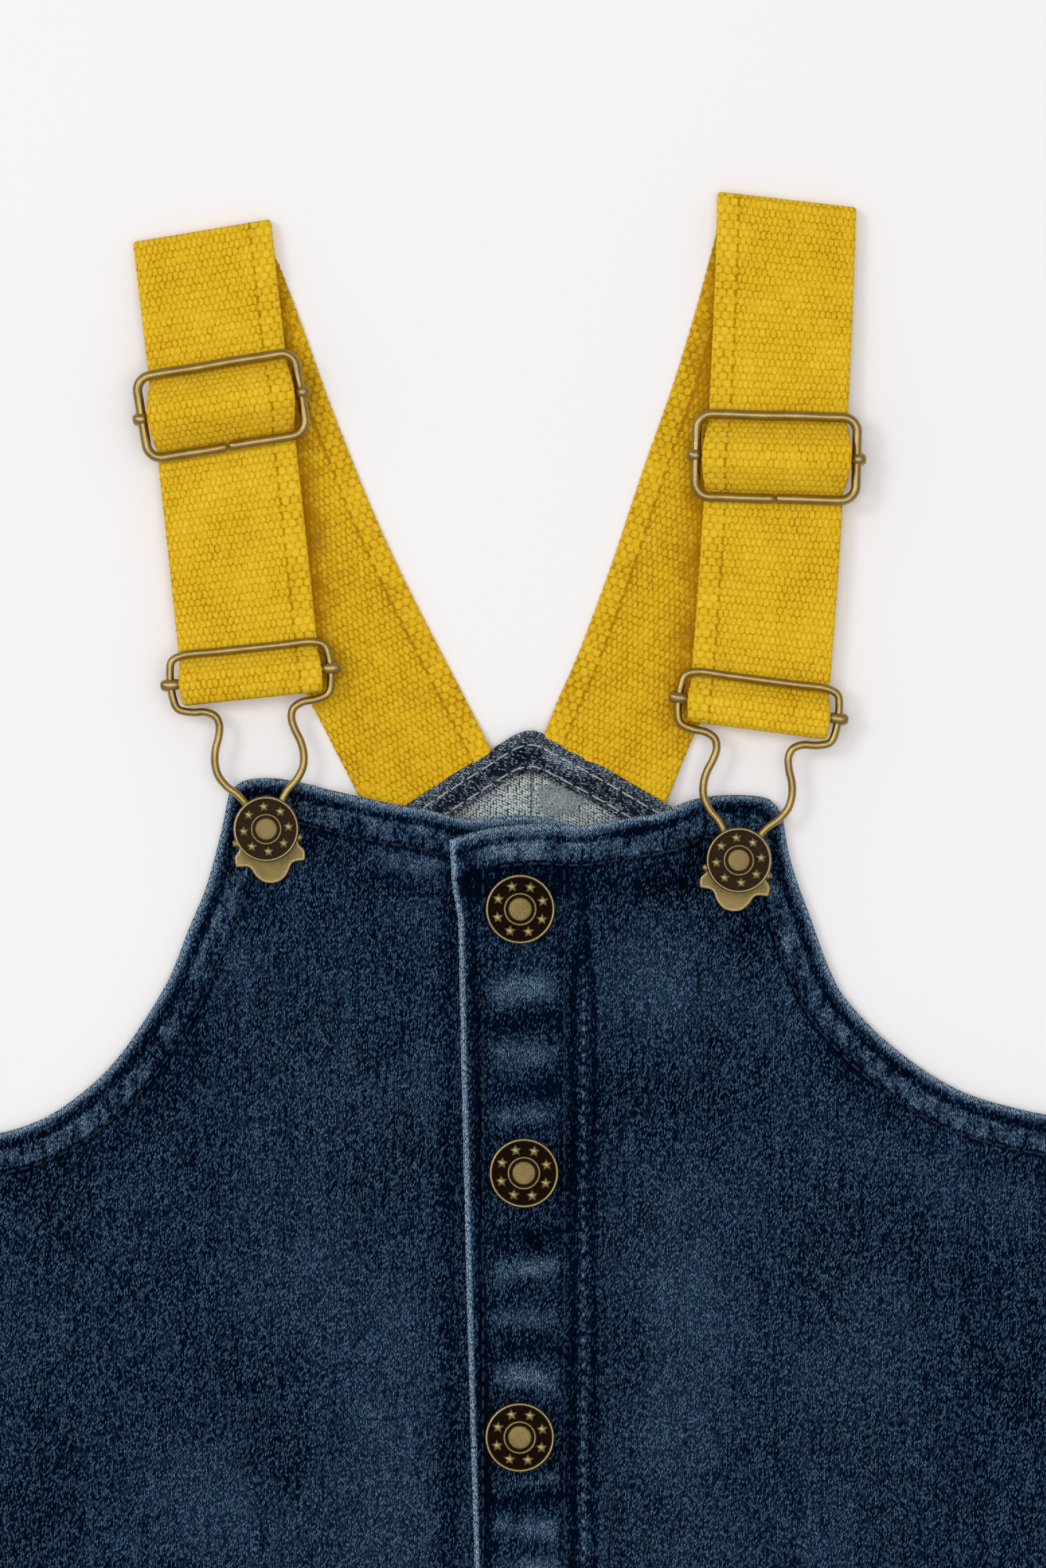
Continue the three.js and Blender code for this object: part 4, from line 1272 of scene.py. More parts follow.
        # Creases: crests lighter with wear, troughs darker with painted shade.
        folds, crease_wear_and_shade = folded(self._folds(), points)
        fade += crease_wear_and_shade
        rise = folds + 0.25 * wide * smooth_step(8.0, 40.0, edge) + 0.28 * rope * band
        if not is_left:
            first, second = self.placket_rows
            # Painted shade: dark lines along the placket's two stitching rows.
            fade -= 0.45 * bell(first, 0.8, x) * on_placket + 0.4 * bell(second, 0.9, x) * on_placket
            fade -= 0.14 * on_placket
            inside = plateau(-7.2, 7.4, 2.4, x) * smooth_step(-20.0, -10.0, y)
            # Puckers across the placket: crests lighter with wear, troughs darker with painted shade.
            lift, pucker_wear_and_shade = folded(self.puckers, points)
            away = np.ones(len(points))
            for bx, by in pattern.placket_buttons:
                away *= smooth_step(6.5, 11.0, np.hypot(x - bx, y - by))
            rise += lift * inside * away
            fade += pucker_wear_and_shade * inside * away * (0.95 + 0.5 * fine)
            fade -= 0.3 * plateau(182.5, 188.0, 1.4, y) * plateau(-12.0, 11.0, 2.0, x)
            grooves += 0.16 * (bell(first, 0.6, x) + bell(second, 0.6, x)) * on_placket
            rise += 0.22 * bell(12.6, 1.0, x) * smooth_step(-20.0, -12.0, y)
        else:
            # Painted shade: a dark line on the left front down beside the overlapping right front.
            beside = plateau(-30.0, -15.0, 4.0, x) * smooth_step(-30.0, -10.0, y)
            fade -= 0.35 * bell(-15.6, 1.6, x) * beside
        for bx, by in self._buttons():
            rise -= 0.25 * bell(0.0, 6.0, np.hypot(x - bx, y - by))
        fade += 0.08 * wide
        high = low + pattern.denim + raised + rolled - grooves + rise
        low = low + np.minimum(rise, 0.6) * 0.7
        return low, np.maximum(high, low + 0.5), fade

    def top(self, points: np.ndarray) -> np.ndarray:
        """Upper height of the cloth at points."""
        return self.heights(points)[1]

    def lap(self, points: np.ndarray) -> np.ndarray:
        """Distance from the overlap's folded edge, and from the ridge over the placket's inner edge."""
        far = np.full(len(points), FAR)
        if self.side is Side.LEFT:
            return far
        is_lapped = points[:, 1] > self.pattern.placket_end_y - 3.0
        fold = line_distance(points, self.edges["inner"])
        ridge = np.abs(points[:, 0] - self.pattern.placket_x) + 1.0
        ridge = ridge + 2.5 * smooth_step(158.0, 186.0, points[:, 1])
        return np.where(is_lapped, np.minimum(fold, ridge), far)

    def build(self) -> bpy.types.Object:
        """Makes the panel and its stitches."""
        name = f"front_{self.side.value}"
        finishes = self.finishes
        piece = self.cut.piece(f"{name}_cloth", self.heights, finishes.outside, finishes.inside, self.lap)
        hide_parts(name)
        stitches = self._stitches()
        return piece

    def _row(self, edge: str, inset: float) -> np.ndarray:
        """A stitching line inside an edge."""
        line = self.edges[edge]
        step = np.gradient(line, axis=0)
        normal = unit(np.column_stack([-step[:, 1], step[:, 0]]))
        outline = self.cut.outline()
        row = line + normal * inset
        inside = is_inside(row, outline)
        if inside.mean() < 0.5:
            row = line - normal * inset
            inside = is_inside(row, outline)
        closed = np.vstack([outline, outline[:1]])
        return row[inside & (line_distance(row, closed) > inset - 0.25)]

    def _stitches(self) -> list[bpy.types.Object]:
        """Stitching of the armhole, neck and hem, and of the placket on the right front."""
        stitching = Stitching()
        thread = self.finishes.navy_thread
        inset = self.hem_band - 1.0
        made = []
        for edge in ("armhole", "neck", "hem"):
            name = f"{edge}_stitches_{self.side.value}"
            line = self._row(edge, inset)
            if len(line) > 2:
                made.append(stitching.piece(name, [line], self.top, thread))
        if self.side is Side.RIGHT:
            foot = self.pattern.placket_end_y + 1.0
            ys = np.linspace(foot, 190.0, 160)
            lines = [np.column_stack([np.full(160, x), ys]) for x in self.placket_rows]
            lines.append(level(np.linspace(*self.placket_rows, 12), foot))
            made.append(stitching.piece("placket_stitches", lines, self.top, thread))
        return made


@dataclass
class PlacketBand:
    """The band inside the overlap that backs the buttonholes."""

    pattern: Pattern
    finishes: Finishes
    inset: float = 0.8

    def heights(self, points: np.ndarray) -> Heights:
        """Lower height, upper height and fade of the band at points."""
        low = self.pattern.front_rest(points[:, 0], points[:, 1]) + self.pattern.denim + self.pattern.seam_gap
        return low, low + self.pattern.facing, np.full(len(points), 0.1)

    def build(self) -> bpy.types.Object:
        """Makes the band."""
        pattern = self.pattern
        bottom = pattern.placket_end_y + 1.0
        ys = np.linspace(bottom, 193.0, 107)
        left = np.column_stack([read_table(pattern.overlap_edge, ys) + self.inset, ys])
        xs = np.linspace(left[-1, 0], pattern.placket_x, 15)
        top = np.column_stack([xs, read_table(pattern.necklines[Side.RIGHT], xs) - pattern.placket_top_gap])
        left[-1] = top[0]
        right = np.column_stack([np.full(107, pattern.placket_x), np.linspace(top[-1, 1], bottom, 107)])
        foot = level(np.linspace(pattern.placket_x, left[0, 0], 12), bottom)
        cut = ClothCut(
            {"left": left, "top": top, "right": right, "foot": foot},
            insets=(0.12, 0.4, 1.0, 2.4),
            holes=tuple((*place, BUTTONHOLE_RADIUS) for place in pattern.placket_buttons),
        )
        piece = cut.piece("placket_band", self.heights, self.finishes.inside, self.finishes.outside)
        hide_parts("placket")
        return piece


@dataclass
class BackPanel:
    """One back of the dungarees, which lies on the table with its inside up."""

    side: Side
    pattern: Pattern
    finishes: Finishes
    seam_inset: float = 1.0
    seam_half_gap: float = 0.06

    def __post_init__(self) -> None:
        """Works out the outline's edges."""
        pattern = self.pattern
        sign = self.side.sign
        rows = [(side - self.seam_inset, y) for y, side in pattern.side_seam]
        rows += [(side, y) for y, side in pattern.back_armholes[self.side]]
        outer = smooth_curve(rows, 2.4)
        outer[:, 0] *= sign
        xs = np.linspace(outer[-1, 0], pattern.peak_x + sign * self.seam_half_gap, 30)
        slope = np.column_stack([xs, pattern.peak_top(xs) - 0.25])
        slope[0] = outer[-1]
        seam_y = np.linspace(pattern.hem_y, slope[-1, 1], 230)
        centre = pattern.peak_x * smooth_step(150.0, pattern.peak_y, seam_y) + sign * self.seam_half_gap
        seam_x = np.where(seam_y < pattern.crotch_y, sign * pattern.inner_leg(seam_y), centre)
        seam = np.column_stack([seam_x, seam_y])
        slope[-1] = seam[-1]
        split = int(np.argmax(outer[:, 1] > 100.0))
        hem = level(np.linspace(outer[0, 0], seam[0, 0], 55), pattern.hem_y)
        self.edges = {
            "inner": seam,
            "slope": slope[::-1],
            "armhole": outer[split:][::-1],
            "side": outer[: split + 1][::-1],
            "hem": hem,
        }
        insets = (0.12, 0.4, 0.9, 1.6, 2.6, 4.2, 6.4, 8.0, 9.0, 10.0)
        self.cut = ClothCut(self.edges, spacing=3.6, insets=insets)

    def heights(self, points: np.ndarray) -> Heights:
        """Lower height, upper height and fade of the cloth at points."""
        near = self.cut.distances(points)
        turned = np.minimum(near["armhole"], near["hem"])
        fade = 0.7 * bell(0.6, 1.2, np.minimum(turned, near["slope"])) + 0.1 * mottle(points, 25.0, 5.0)
        seam = 0.18 * bell(0.0, 3.0, near["inner"]) * smooth_step(190.0, 200.0, points[:, 1])
        low = np.zeros(len(points))
        rise = 0.12 * mottle(points, 18.0, 8.0)
        return low, np.full(len(points), self.pattern.denim) + seam + np.minimum(rise, 0.14), fade

    def build(self) -> bpy.types.Object:
        """Makes the panel."""
        name = f"back_{self.side.value}"
        piece = self.cut.piece(f"{name}_cloth", self.heights, self.finishes.inside, self.finishes.outside)
        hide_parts(name)
        return piece


@dataclass
class BackFacing:
    """The dark facing sewn inside the back peak over the strap ends."""

    pattern: Pattern
    finishes: Finishes
    inset: float = 0.1
    stitch_shares: tuple[float, float] = (0.66, 0.16)

    def _edge(self, x: np.ndarray, share: float) -> np.ndarray:
        """Height along the body at a share of the way from the foot to the top edge."""
        top = self.pattern.peak_top(x) - self.inset
        width = self.pattern.facing_width * math.hypot(1.0, self.pattern.facing_rise)
        rounded = 1.0 - smooth_step(0.0, 9.0, np.abs(x - self.pattern.peak_x))
        foot = top - width - 0.3 * rounded
        return foot + (top - foot) * share

    def heights(self, points: np.ndarray) -> Heights:
        """Lower height, upper height and fade of the facing at points."""
        pattern = self.pattern
        low = np.full(len(points), pattern.denim + pattern.strap + 2 * pattern.seam_gap)
        x = points[:, 0]
        top, foot = self._edge(x, 1.0), self._edge(x, 0.0)
        share = (points[:, 1] - foot) / (top - foot)
        fine = mottle(points, 2.4, 21.0)
        first, second = self.stitch_shares
        groove = 0.14 * (bell(first, 0.08, share) + bell(second, 0.08, share))
        fade = 0.35 * bell(1.0, 0.12, share) * (1.0 + fine) - 0.3 * bell(0.42, 0.16, share)
        scuff = Fold((3.6, 213.4), (13.6, 207.9), 1.1, 0.0)
        fade += 1.3 * scuff.weight(points) * (0.8 + 0.6 * fine)
        between = 1.0 - smooth_step(12.0, 17.0, np.abs(x - pattern.peak_x))
        low = low - 1.2 * between * smooth_step(0.35, 1.0, share)
        return low, low + pattern.facing - groove + 0.08 * fine, fade

    def top(self, points: np.ndarray) -> np.ndarray:
        """Upper height of the facing at points."""
        return self.heights(points)[1]

    def build(self) -> bpy.types.Object:
        """Makes the facing and its two rows of stitches."""
        pattern = self.pattern
        xs = np.concatenate(
            [
                np.linspace(-pattern.facing_left, pattern.peak_x - 6.0, 40),
                np.linspace(pattern.peak_x - 5.0, pattern.peak_x + 5.0, 15),
                np.linspace(pattern.peak_x + 6.0, pattern.facing_right, 38),
            ]
        )
        top = np.column_stack([xs, self._edge(xs, 1.0)])
        foot = np.column_stack([xs, self._edge(xs, 0.0)])
        right = np.linspace(top[-1], foot[-1], 9)
        left = np.linspace(foot[0], top[0], 9)
        cut = ClothCut(
            {"top": top, "right": right, "foot": foot[::-1], "left": left},
            spacing=1.0,
            insets=(0.1, 0.3, 0.7, 1.2),
        )
        piece = cut.piece("back_facing_cloth", self.heights, self.finishes.turned, self.finishes.inside)
        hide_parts("back_facing")
        rows = [np.column_stack([xs, self._edge(xs, share)]) for share in self.stitch_shares]
        stitches = Stitching(length=3.3, gap=0.5, radius=0.17).piece(
            "facing_stitches", rows, self.top, self.finishes.grey_thread
        )
        return piece


@dataclass(frozen=True)
class Round:
    """A round that a belt passes in its plane: its place, height and signed radius."""

    s: float
    z: float
    r: float


def belt_path(rounds: Sequence[Round], arc_step: float, line_step: float) -> list[tuple[float, float]]:
    """The path of a belt round a row of rounds.

    Args:
        rounds: rounds passed anticlockwise where their radius is positive and clockwise where not.
        arc_step: the angle between points on a round, in radians.
        line_step: the distance between points on a straight.

    Returns:
        Pairs of distance and height.
    """
    headings = []
    for a, b in zip(rounds[:-1], rounds[1:]):
        span = math.hypot(b.s - a.s, b.z - a.z)
        headings.append(math.atan2(b.z - a.z, b.s - a.s) - math.asin((b.r - a.r) / span))

    def on_round(item: Round, heading: float) -> tuple[float, float]:
        """Where the belt touches a round at a heading."""
        return item.s + item.r * math.sin(heading), item.z - item.r * math.cos(heading)

    path = [on_round(rounds[0], headings[0])]
    for i, item in enumerate(rounds[1:], start=1):
        arrival = on_round(item, headings[i - 1])
        last = path[-1]
        count = max(1, round(math.dist(arrival, last) / line_step))
        for k in range(1, count + 1):
            t = k / count
            path.append((last[0] + (arrival[0] - last[0]) * t, last[1] + (arrival[1] - last[1]) * t))
        if i < len(rounds) - 1:
            turned = (headings[i] - headings[i - 1]) / (2 * math.pi)
            whole = math.floor(turned) if item.r > 0 else math.ceil(turned)
            sweep = 2 * math.pi * (turned - whole)
            arcs = max(1, math.ceil(abs(sweep) / arc_step))
            for k in range(1, arcs + 1):
                path.append(on_round(item, headings[i - 1] + sweep * k / arcs))
    return path


@dataclass
class Strap:
    """One shoulder strap: webbing from the back peak over the fold to its slider and buckle."""

    side: Side
    pattern: Pattern
    finishes: Finishes
    back_run: tuple[tuple[float, float, float, float], ...]
    fold: tuple[float, float, float]
    head: tuple[float, float]
    buckle_turn: float
    slider_distance: float
    slider_turn: float
    bow: float
    plate_drop: float
    width: float = 30.0
    thickness: float = 1.4
    columns: int = 26
    knot_pitch: float = 1.6
    slider_radius: float = 1.25
    slider_wire: float = 1.04
    slider_half_width: float = 17.3
    slider_half_height: float = 8.95
    slider_corner: float = 3.2
    slider_z: float = 6.85
    end_gap: float = 0.3
    buckle_radius: float = 0.9
    buckle_wire: float = 0.86
    buckle_top_z: float = 6.1
    buckle_head_z: float = 5.2
    bar_radius: float = 1.1
    slider_bar: tuple[float, float, float] = (38.6, 1.5, 3.1)
    buckle_bar: tuple[float, float, float] = (39.0, 1.4, 3.7)
    buckle_bar_y: float = 33.0
    plate_thickness: float = 0.7
    wire_bend: Table = (
        (0.0, 39.1), (7.0, 39.1), (14.3, 39.05), (16.5, 38.1), (17.2, 35.6), (17.1, 30.0), (16.3, 27.7),
        (13.6, 26.7), (10.5, 26.4), (8.5, 25.3), (7.8, 23.4), (8.2, 20.9), (9.2, 18.1), (9.6, 15.4),
        (9.2, 12.6), (7.6, 10.0), (5.2, 7.7), (3.6, 5.0), (3.3, 1.6), (3.9, -1.0), (5.6, -2.3),
        (7.6, -2.5),
    )
    plate_edge: Table = (
        (0.0, -11.3), (1.7, -10.95), (3.0, -10.0), (3.95, -8.7), (4.35, -7.8), (4.75, -7.35), (5.4, -7.12),
        (7.4, -7.0), (7.62, -6.8), (7.7, -6.2), (7.7, -4.8), (7.45, -4.3), (6.7, -3.5), (6.5, -2.4),
        (6.6, -0.8), (6.0, 1.2), (4.6, 2.9), (2.4, 4.2), (0.0, 4.5),
    )

    def local(self, x: float, y: float) -> tuple[float, float]:
        """A place in the buckle's own axes as a place in the frame."""
        angle = math.radians(self.buckle_turn)
        return (
            self.head[0] + x * math.cos(angle) - y * math.sin(angle),
            self.head[1] + x * math.sin(angle) + y * math.cos(angle),
        )

    def buckle_z(self, y: float) -> float:
        """Height of the buckle's wire at a distance from its head."""
        t = min(max(y / self.wire_bend[0][1], 0.0), 1.0)
        return self.buckle_head_z + (self.buckle_top_z - self.buckle_head_z) * t

    def front_run(self, s: float) -> tuple[float, float, float]:
        """Place and turn of the front run at a distance from the fold."""
        bar = self.local(0.0, self.buckle_bar_y)
        length = math.dist(bar, self.fold[:2])
        along = ((bar[0] - self.fold[0]) / length, (bar[1] - self.fold[1]) / length)
        turns = (
            (-5.0, self.fold[2]),
            (0.0, self.fold[2]),
            (self.slider_distance - 9.0, self.slider_turn),
            (self.slider_distance + 9.0, self.slider_turn),
            (length - 7.0, self.buckle_turn),
            (length + 9.0, self.buckle_turn),
        )
        t = min(max(s / length, 0.0), 1.0)
        aside = self.bow * 4.0 * t * (1.0 - t)
        return (
            self.fold[0] + along[0] * s - along[1] * aside,
            self.fold[1] + along[1] * s + along[0] * aside,
            float(read_table(turns, s)),
        )

    def run_length(self) -> float:
        """Distance from the fold to the buckle's bar."""
        return math.dist(self.local(0.0, self.buckle_bar_y), self.fold[:2])

    def sections(self) -> tuple[np.ndarray, np.ndarray, int]:
        """Works out the webbing's path.

        Returns:
            The centre of each section, the turn of its width in degrees, and how many sections
            the back run has.
        """
        half = self.thickness / 2
        gap = self.pattern.seam_gap
        fold_radius = 1.3
        back_z = self.back_run[-1][2]
        under_slider = self.slider_radius + gap + half + 0.1
        round_bar = self.bar_radius + gap + half
        over_bar = round_bar + self.thickness + gap
        under_buckle = self.buckle_radius + gap + half
        return_z = self.thickness * 1.5 + gap + 0.05
        slider, bar = self.slider_distance, self.run_length()
        top_wire = bar - (self.wire_bend[0][1] - self.buckle_bar_y)
        bar_z = self.buckle_z(self.buckle_bar_y)
        high, reach = self.slider_z, self.slider_half_height
        path = belt_path(
            [
                Round(7.0, back_z, 0.0),
                Round(0.0, back_z + fold_radius, -fold_radius),
                Round(slider - reach, high, under_slider),
                Round(slider, high, -over_bar),
                Round(slider + reach, high, under_slider),
                Round(top_wire, self.buckle_top_z, under_buckle),
                Round(bar, bar_z, -(round_bar + 0.1)),
                Round(bar + 2.3, bar_z - 0.1, -1.8),
                Round(top_wire, self.buckle_top_z, -(self.buckle_top_z - return_z)),
                Round(slider + reach, high, -(high - return_z)),
                Round(slider, high, -round_bar),
                Round(slider + 3.2, high - 0.8, 0.0),
            ],
            math.radians(9.0),
            0.9,
        )
        back = smooth_curve([row[:3] for row in self.back_run], 0.9)
        knots = np.array(self.back_run)
        marks = run_lengths(knots[:, :2])
        runs = run_lengths(back[:, :2])
        turns = list(np.interp(runs * marks[-1] / runs[-1], marks, knots[:, 3]))
        centres = [tuple(row) for row in back]
        for s, z in path[1:]:
            x, y, turn = self.front_run(s)
            centres.append((x, y, z))
            turns.append(turn)
        return np.array(centres), np.array(turns), len(back)

    def webbing(self) -> bpy.types.Object:
        """Makes the strap's webbing."""
        centres, turns, back_count = self.sections()
        steps = np.linalg.norm(np.diff(centres, axis=0), axis=1)
        keep = np.concatenate([[True], steps > 1e-4])
        centres, turns = centres[keep], turns[keep]
        along = run_lengths(centres)
        incoming = unit(np.diff(centres, axis=0))
        tangents = unit(np.vstack([incoming[:1], incoming[:-1] + incoming[1:], incoming[-1:]]))
        angles = np.radians(turns)
        across = np.column_stack([np.cos(angles), np.sin(angles), np.zeros(len(angles))])
        normals = unit(np.cross(across, tangents))
        half, thin = self.width / 2, self.thickness / 2
        slider_place = self.front_run(self.slider_distance)
        flat = np.linspace(-half + thin, half - thin, self.columns)
        bend = np.linspace(-math.pi / 2, math.pi / 2, 7)[1:-1]
        upper = [(u, thin) for u in flat]
        right = [(half - thin + thin * math.cos(a), thin * math.sin(a)) for a in bend[::-1]]
        lower = [(u, -thin) for u in flat[::-1]]
        left = [(-half + thin - thin * math.cos(a), thin * math.sin(a)) for a in bend]
        ring = np.array(upper + right + lower + left)
        count = len(ring)
        scallop = 0.09 * np.cos(2 * math.pi * along / self.knot_pitch)
        stretch = 1.0 + np.where(np.abs(ring[:, 0]) > half - 1.2, 1.0, 0.0)[None, :] * scallop[:, None] / half
        hump = bell(0.0, 6.0, np.hypot(centres[:, 0] - slider_place[0], centres[:, 1] - slider_place[1]))
        bar = self.local(0.0, self.buckle_bar_y)
        end = bell(0.0, 4.5, np.hypot(centres[:, 0] - bar[0], centres[:, 1] - bar[1]))
        stretch = stretch * (1.0 + (0.07 * hump + 0.03 * end) * smooth_step(5.0, 7.5, centres[:, 2]))[:, None]
        offsets = ring[:, 0][None, :] * stretch
        points = (
            centres[:, None, :]
            + offsets[:, :, None] * across[:, None, :]
            + ring[:, 1][None, :, None] * normals[:, None, :]
        )
        rows = len(centres)
        lay = np.zeros((rows, count, 3))
        lay[:, :, 0] = -ring[:, 0][None, :] * self.side.sign
        lay[:, :, 1] = along[:, None]
        # Painted shade: the back run is painted darker all over, and a painted shadow of the front run
        # darkens it further beside that run.
        beside = self._beside(points.reshape(-1, 3)[:, :2]).reshape(rows, count)
        is_back = (np.arange(rows) < back_count)[:, None]
        fade = np.where(is_back, -0.32 - 0.7 * bell(0.0, 4.5, beside), 0.0)
        piece = new_piece(
            f"strap_{self.side.value}_webbing",
            points.reshape(-1, 3),
            ring_faces(rows, count, is_flipped=True),
            [self.finishes.webbing],
            Slot.WEBBING,
            {"lay": lay.reshape(-1, 3), "fade": fade.reshape(-1)},
        )
        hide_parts(f"strap_{self.side.value}")
        return piece

    def _beside(self, points: np.ndarray) -> np.ndarray:
        """How far points lie outside the front run, seen from above."""
        rows = np.array([self.front_run(s) for s in np.arange(0.0, self.run_length(), 1.0)])
        turns = np.radians(rows[:, 2])
        gaps = points[:, None, :] - rows[None, :, :2]
        aside = gaps[:, :, 0] * np.cos(turns) + gaps[:, :, 1] * np.sin(turns)
        ahead = gaps[:, :, 1] * np.cos(turns) - gaps[:, :, 0] * np.sin(turns)
        nearest = np.argmin(np.abs(ahead), axis=1)
        numbers = np.arange(len(points))
        sideways = np.abs(aside[numbers, nearest]) - self.width / 2
        return np.maximum(np.maximum(sideways, 0.0), np.abs(ahead[numbers, nearest]) - 1.0)

    def _bar(self, length: float, collar: float, reach: float) -> tuple[np.ndarray, Faces]:
        """A cross bar with a pressed collar at each end."""
        end = length / 2
        inner = end - reach
        rows = [
            (0.0, -end),
            (collar * 0.5, -end),
            (collar * 0.66, -end + 0.16),
            (collar * 0.9, -end + 0.75),
            (collar, -end + reach * 0.45),
            (collar * 0.98, -end + reach * 0.7),
            (collar * 0.85, -inner - 0.1),
            (self.bar_radius * 1.05, -inner),
            (self.bar_radius, -inner + 0.4),
        ]
        profile = rows + [(r, -z) for r, z in reversed(rows)]
        points, faces = lathe(profile, 28)
        return points[:, [2, 1, 0]] * np.array([1.0, -1.0, 1.0]), faces

    def hardware(self) -> None:
        """Makes the slider, the buckle, their bars and the plate."""
        place = self.front_run(self.slider_distance)[:2]
        self._loop("slider", self._slider_path(), self.slider_wire, place, self.slider_turn)
        self._cross("slider", self.slider_bar, self.slider_z, place, self.slider_turn)
        self._loop("buckle", self._buckle_path(), self.buckle_wire, self.head, self.buckle_turn)
        place = self.local(0.0, self.buckle_bar_y)
        self._cross("buckle", self.buckle_bar, self.buckle_z(self.buckle_bar_y), place, self.buckle_turn)
        self._plate()

    def _metal(
        self, kind: str, part: str, points: np.ndarray, faces: Faces, recess: np.ndarray | float = 0.0
    ) -> None:
        """Makes a metal piece that stands for a CAD node.

        Args:
            kind: slider or buckle.
            part: wire, bar or plate.
            points: its points.
            faces: its faces.
            recess: how sunk and stained each point is.
        """
        side = self.side.value
        parts = MeshParts()
        parts.add(points, faces, recess)
        finish = self.finishes.button if part == "plate" else self.finishes.wire
        piece = parts.piece(f"{kind}_{side}_{part}", finish, Slot.BRASS)
        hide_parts(f"{kind}_{side}" if part == "wire" else f"{kind}_{part}_{side}")

    def _loop(self, kind: str, path: np.ndarray, radius: float, place: Sequence[float], turn: float) -> None:
        """Makes a wire loop, with its cut ends rounded, at a place and turn."""
        path = seated(path, place, turn)
        steps = run_lengths(path)
        near = np.minimum(steps, steps[-1] - steps)
        self._metal(kind, "wire", *tube(path, radius * (0.72 + 0.28 * smooth_step(0.0, 0.35, near)), 18))

    def _cross(
        self, kind: str, sizes: Sequence[float], z: float, place: Sequence[float], turn: float
    ) -> None:
        """Makes a cross bar at a place, height and turn."""
        points, faces = self._bar(*sizes)
        points[:, 2] += z
        self._metal(kind, "bar", seated(points, place, turn), faces)

    def _slider_path(self) -> np.ndarray:
        """Centreline of the slider's wire, from one cut end round to the other."""
        width, height, corner = self.slider_half_width, self.slider_half_height, self.slider_corner
        half = [(self.end_gap / 2, -height)]
        half += [(x, -height) for x in np.linspace(self.end_gap / 2 + 0.3, width - corner - 0.3, 14)]
        for sign, start in ((-1, -90), (1, 0)):
            for k in range(13):
                angle = math.radians(start + 90 * k / 12)
                x = width - corner + corner * math.cos(angle)
                y = sign * (height - corner) + corner * math.sin(angle)
                half.append((x, y))
            if sign < 0:
                half += [(width, y) for y in np.linspace(-height + corner + 0.4, height - corner - 0.4, 9)]
        half += [(x, height) for x in np.linspace(width - corner - 0.4, 0.0, 14)]
        other = [(-x, y) for x, y in reversed(half[:-1])]
        path = np.array(half + other)
        sag = 0.05 * np.sin(path[:, 0] * 0.4)
        return np.column_stack([path[:, 0], path[:, 1] + sag, np.full(len(path), self.slider_z)])

    def _buckle_path(self) -> np.ndarray:
        """Centreline of the buckle's wire, from one end beside the button round to the other."""
        right = [(x, y, self.buckle_z(y)) for x, y in self.wire_bend]
        left = [(-x, y, z) for x, y, z in reversed(right[1:])]
        return smooth_curve(left + right, 0.45)

    def _plate(self) -> None:
        """Makes the pressed plate under the bib button."""
        z = self.buckle_head_z - self.buckle_radius - self.pattern.seam_gap - self.plate_thickness
        drops = [(x, y - self.plate_drop * (y < 0)) for x, y in self.plate_edge]
        right = smooth_curve(drops, 0.45)
        left = right[::-1] * np.array([-1.0, 1.0])
        cut = ClothCut(
            {"right": right, "left": left},
            spacing=0.8,
            insets=(0.08, 0.2, 0.4, 0.7),
            holes=((0.0, 0.0, BUTTONHOLE_RADIUS),),
        )
        points, triangles, depth = cut.triangles()
        bevel = np.sqrt(np.maximum(1.0 - (1.0 - np.clip(depth / 0.35, 0, 1)) ** 2, 0.0))
        rim = 0.1 * bell(0.45, 0.3, depth)
        half = self.plate_thickness / 2
        middle = z + half
        is_edge = depth == 0.0
        places, faces = shell(points, triangles, middle + half * bevel + rim, middle - half * bevel, is_edge)
        rubbed = -0.6 * bell(0.3, 0.3, np.concatenate([depth, depth[~is_edge]]))
        places = seated(places, self.head, self.buckle_turn)
        self._metal("buckle", "plate", places, faces.tolist(), rubbed)


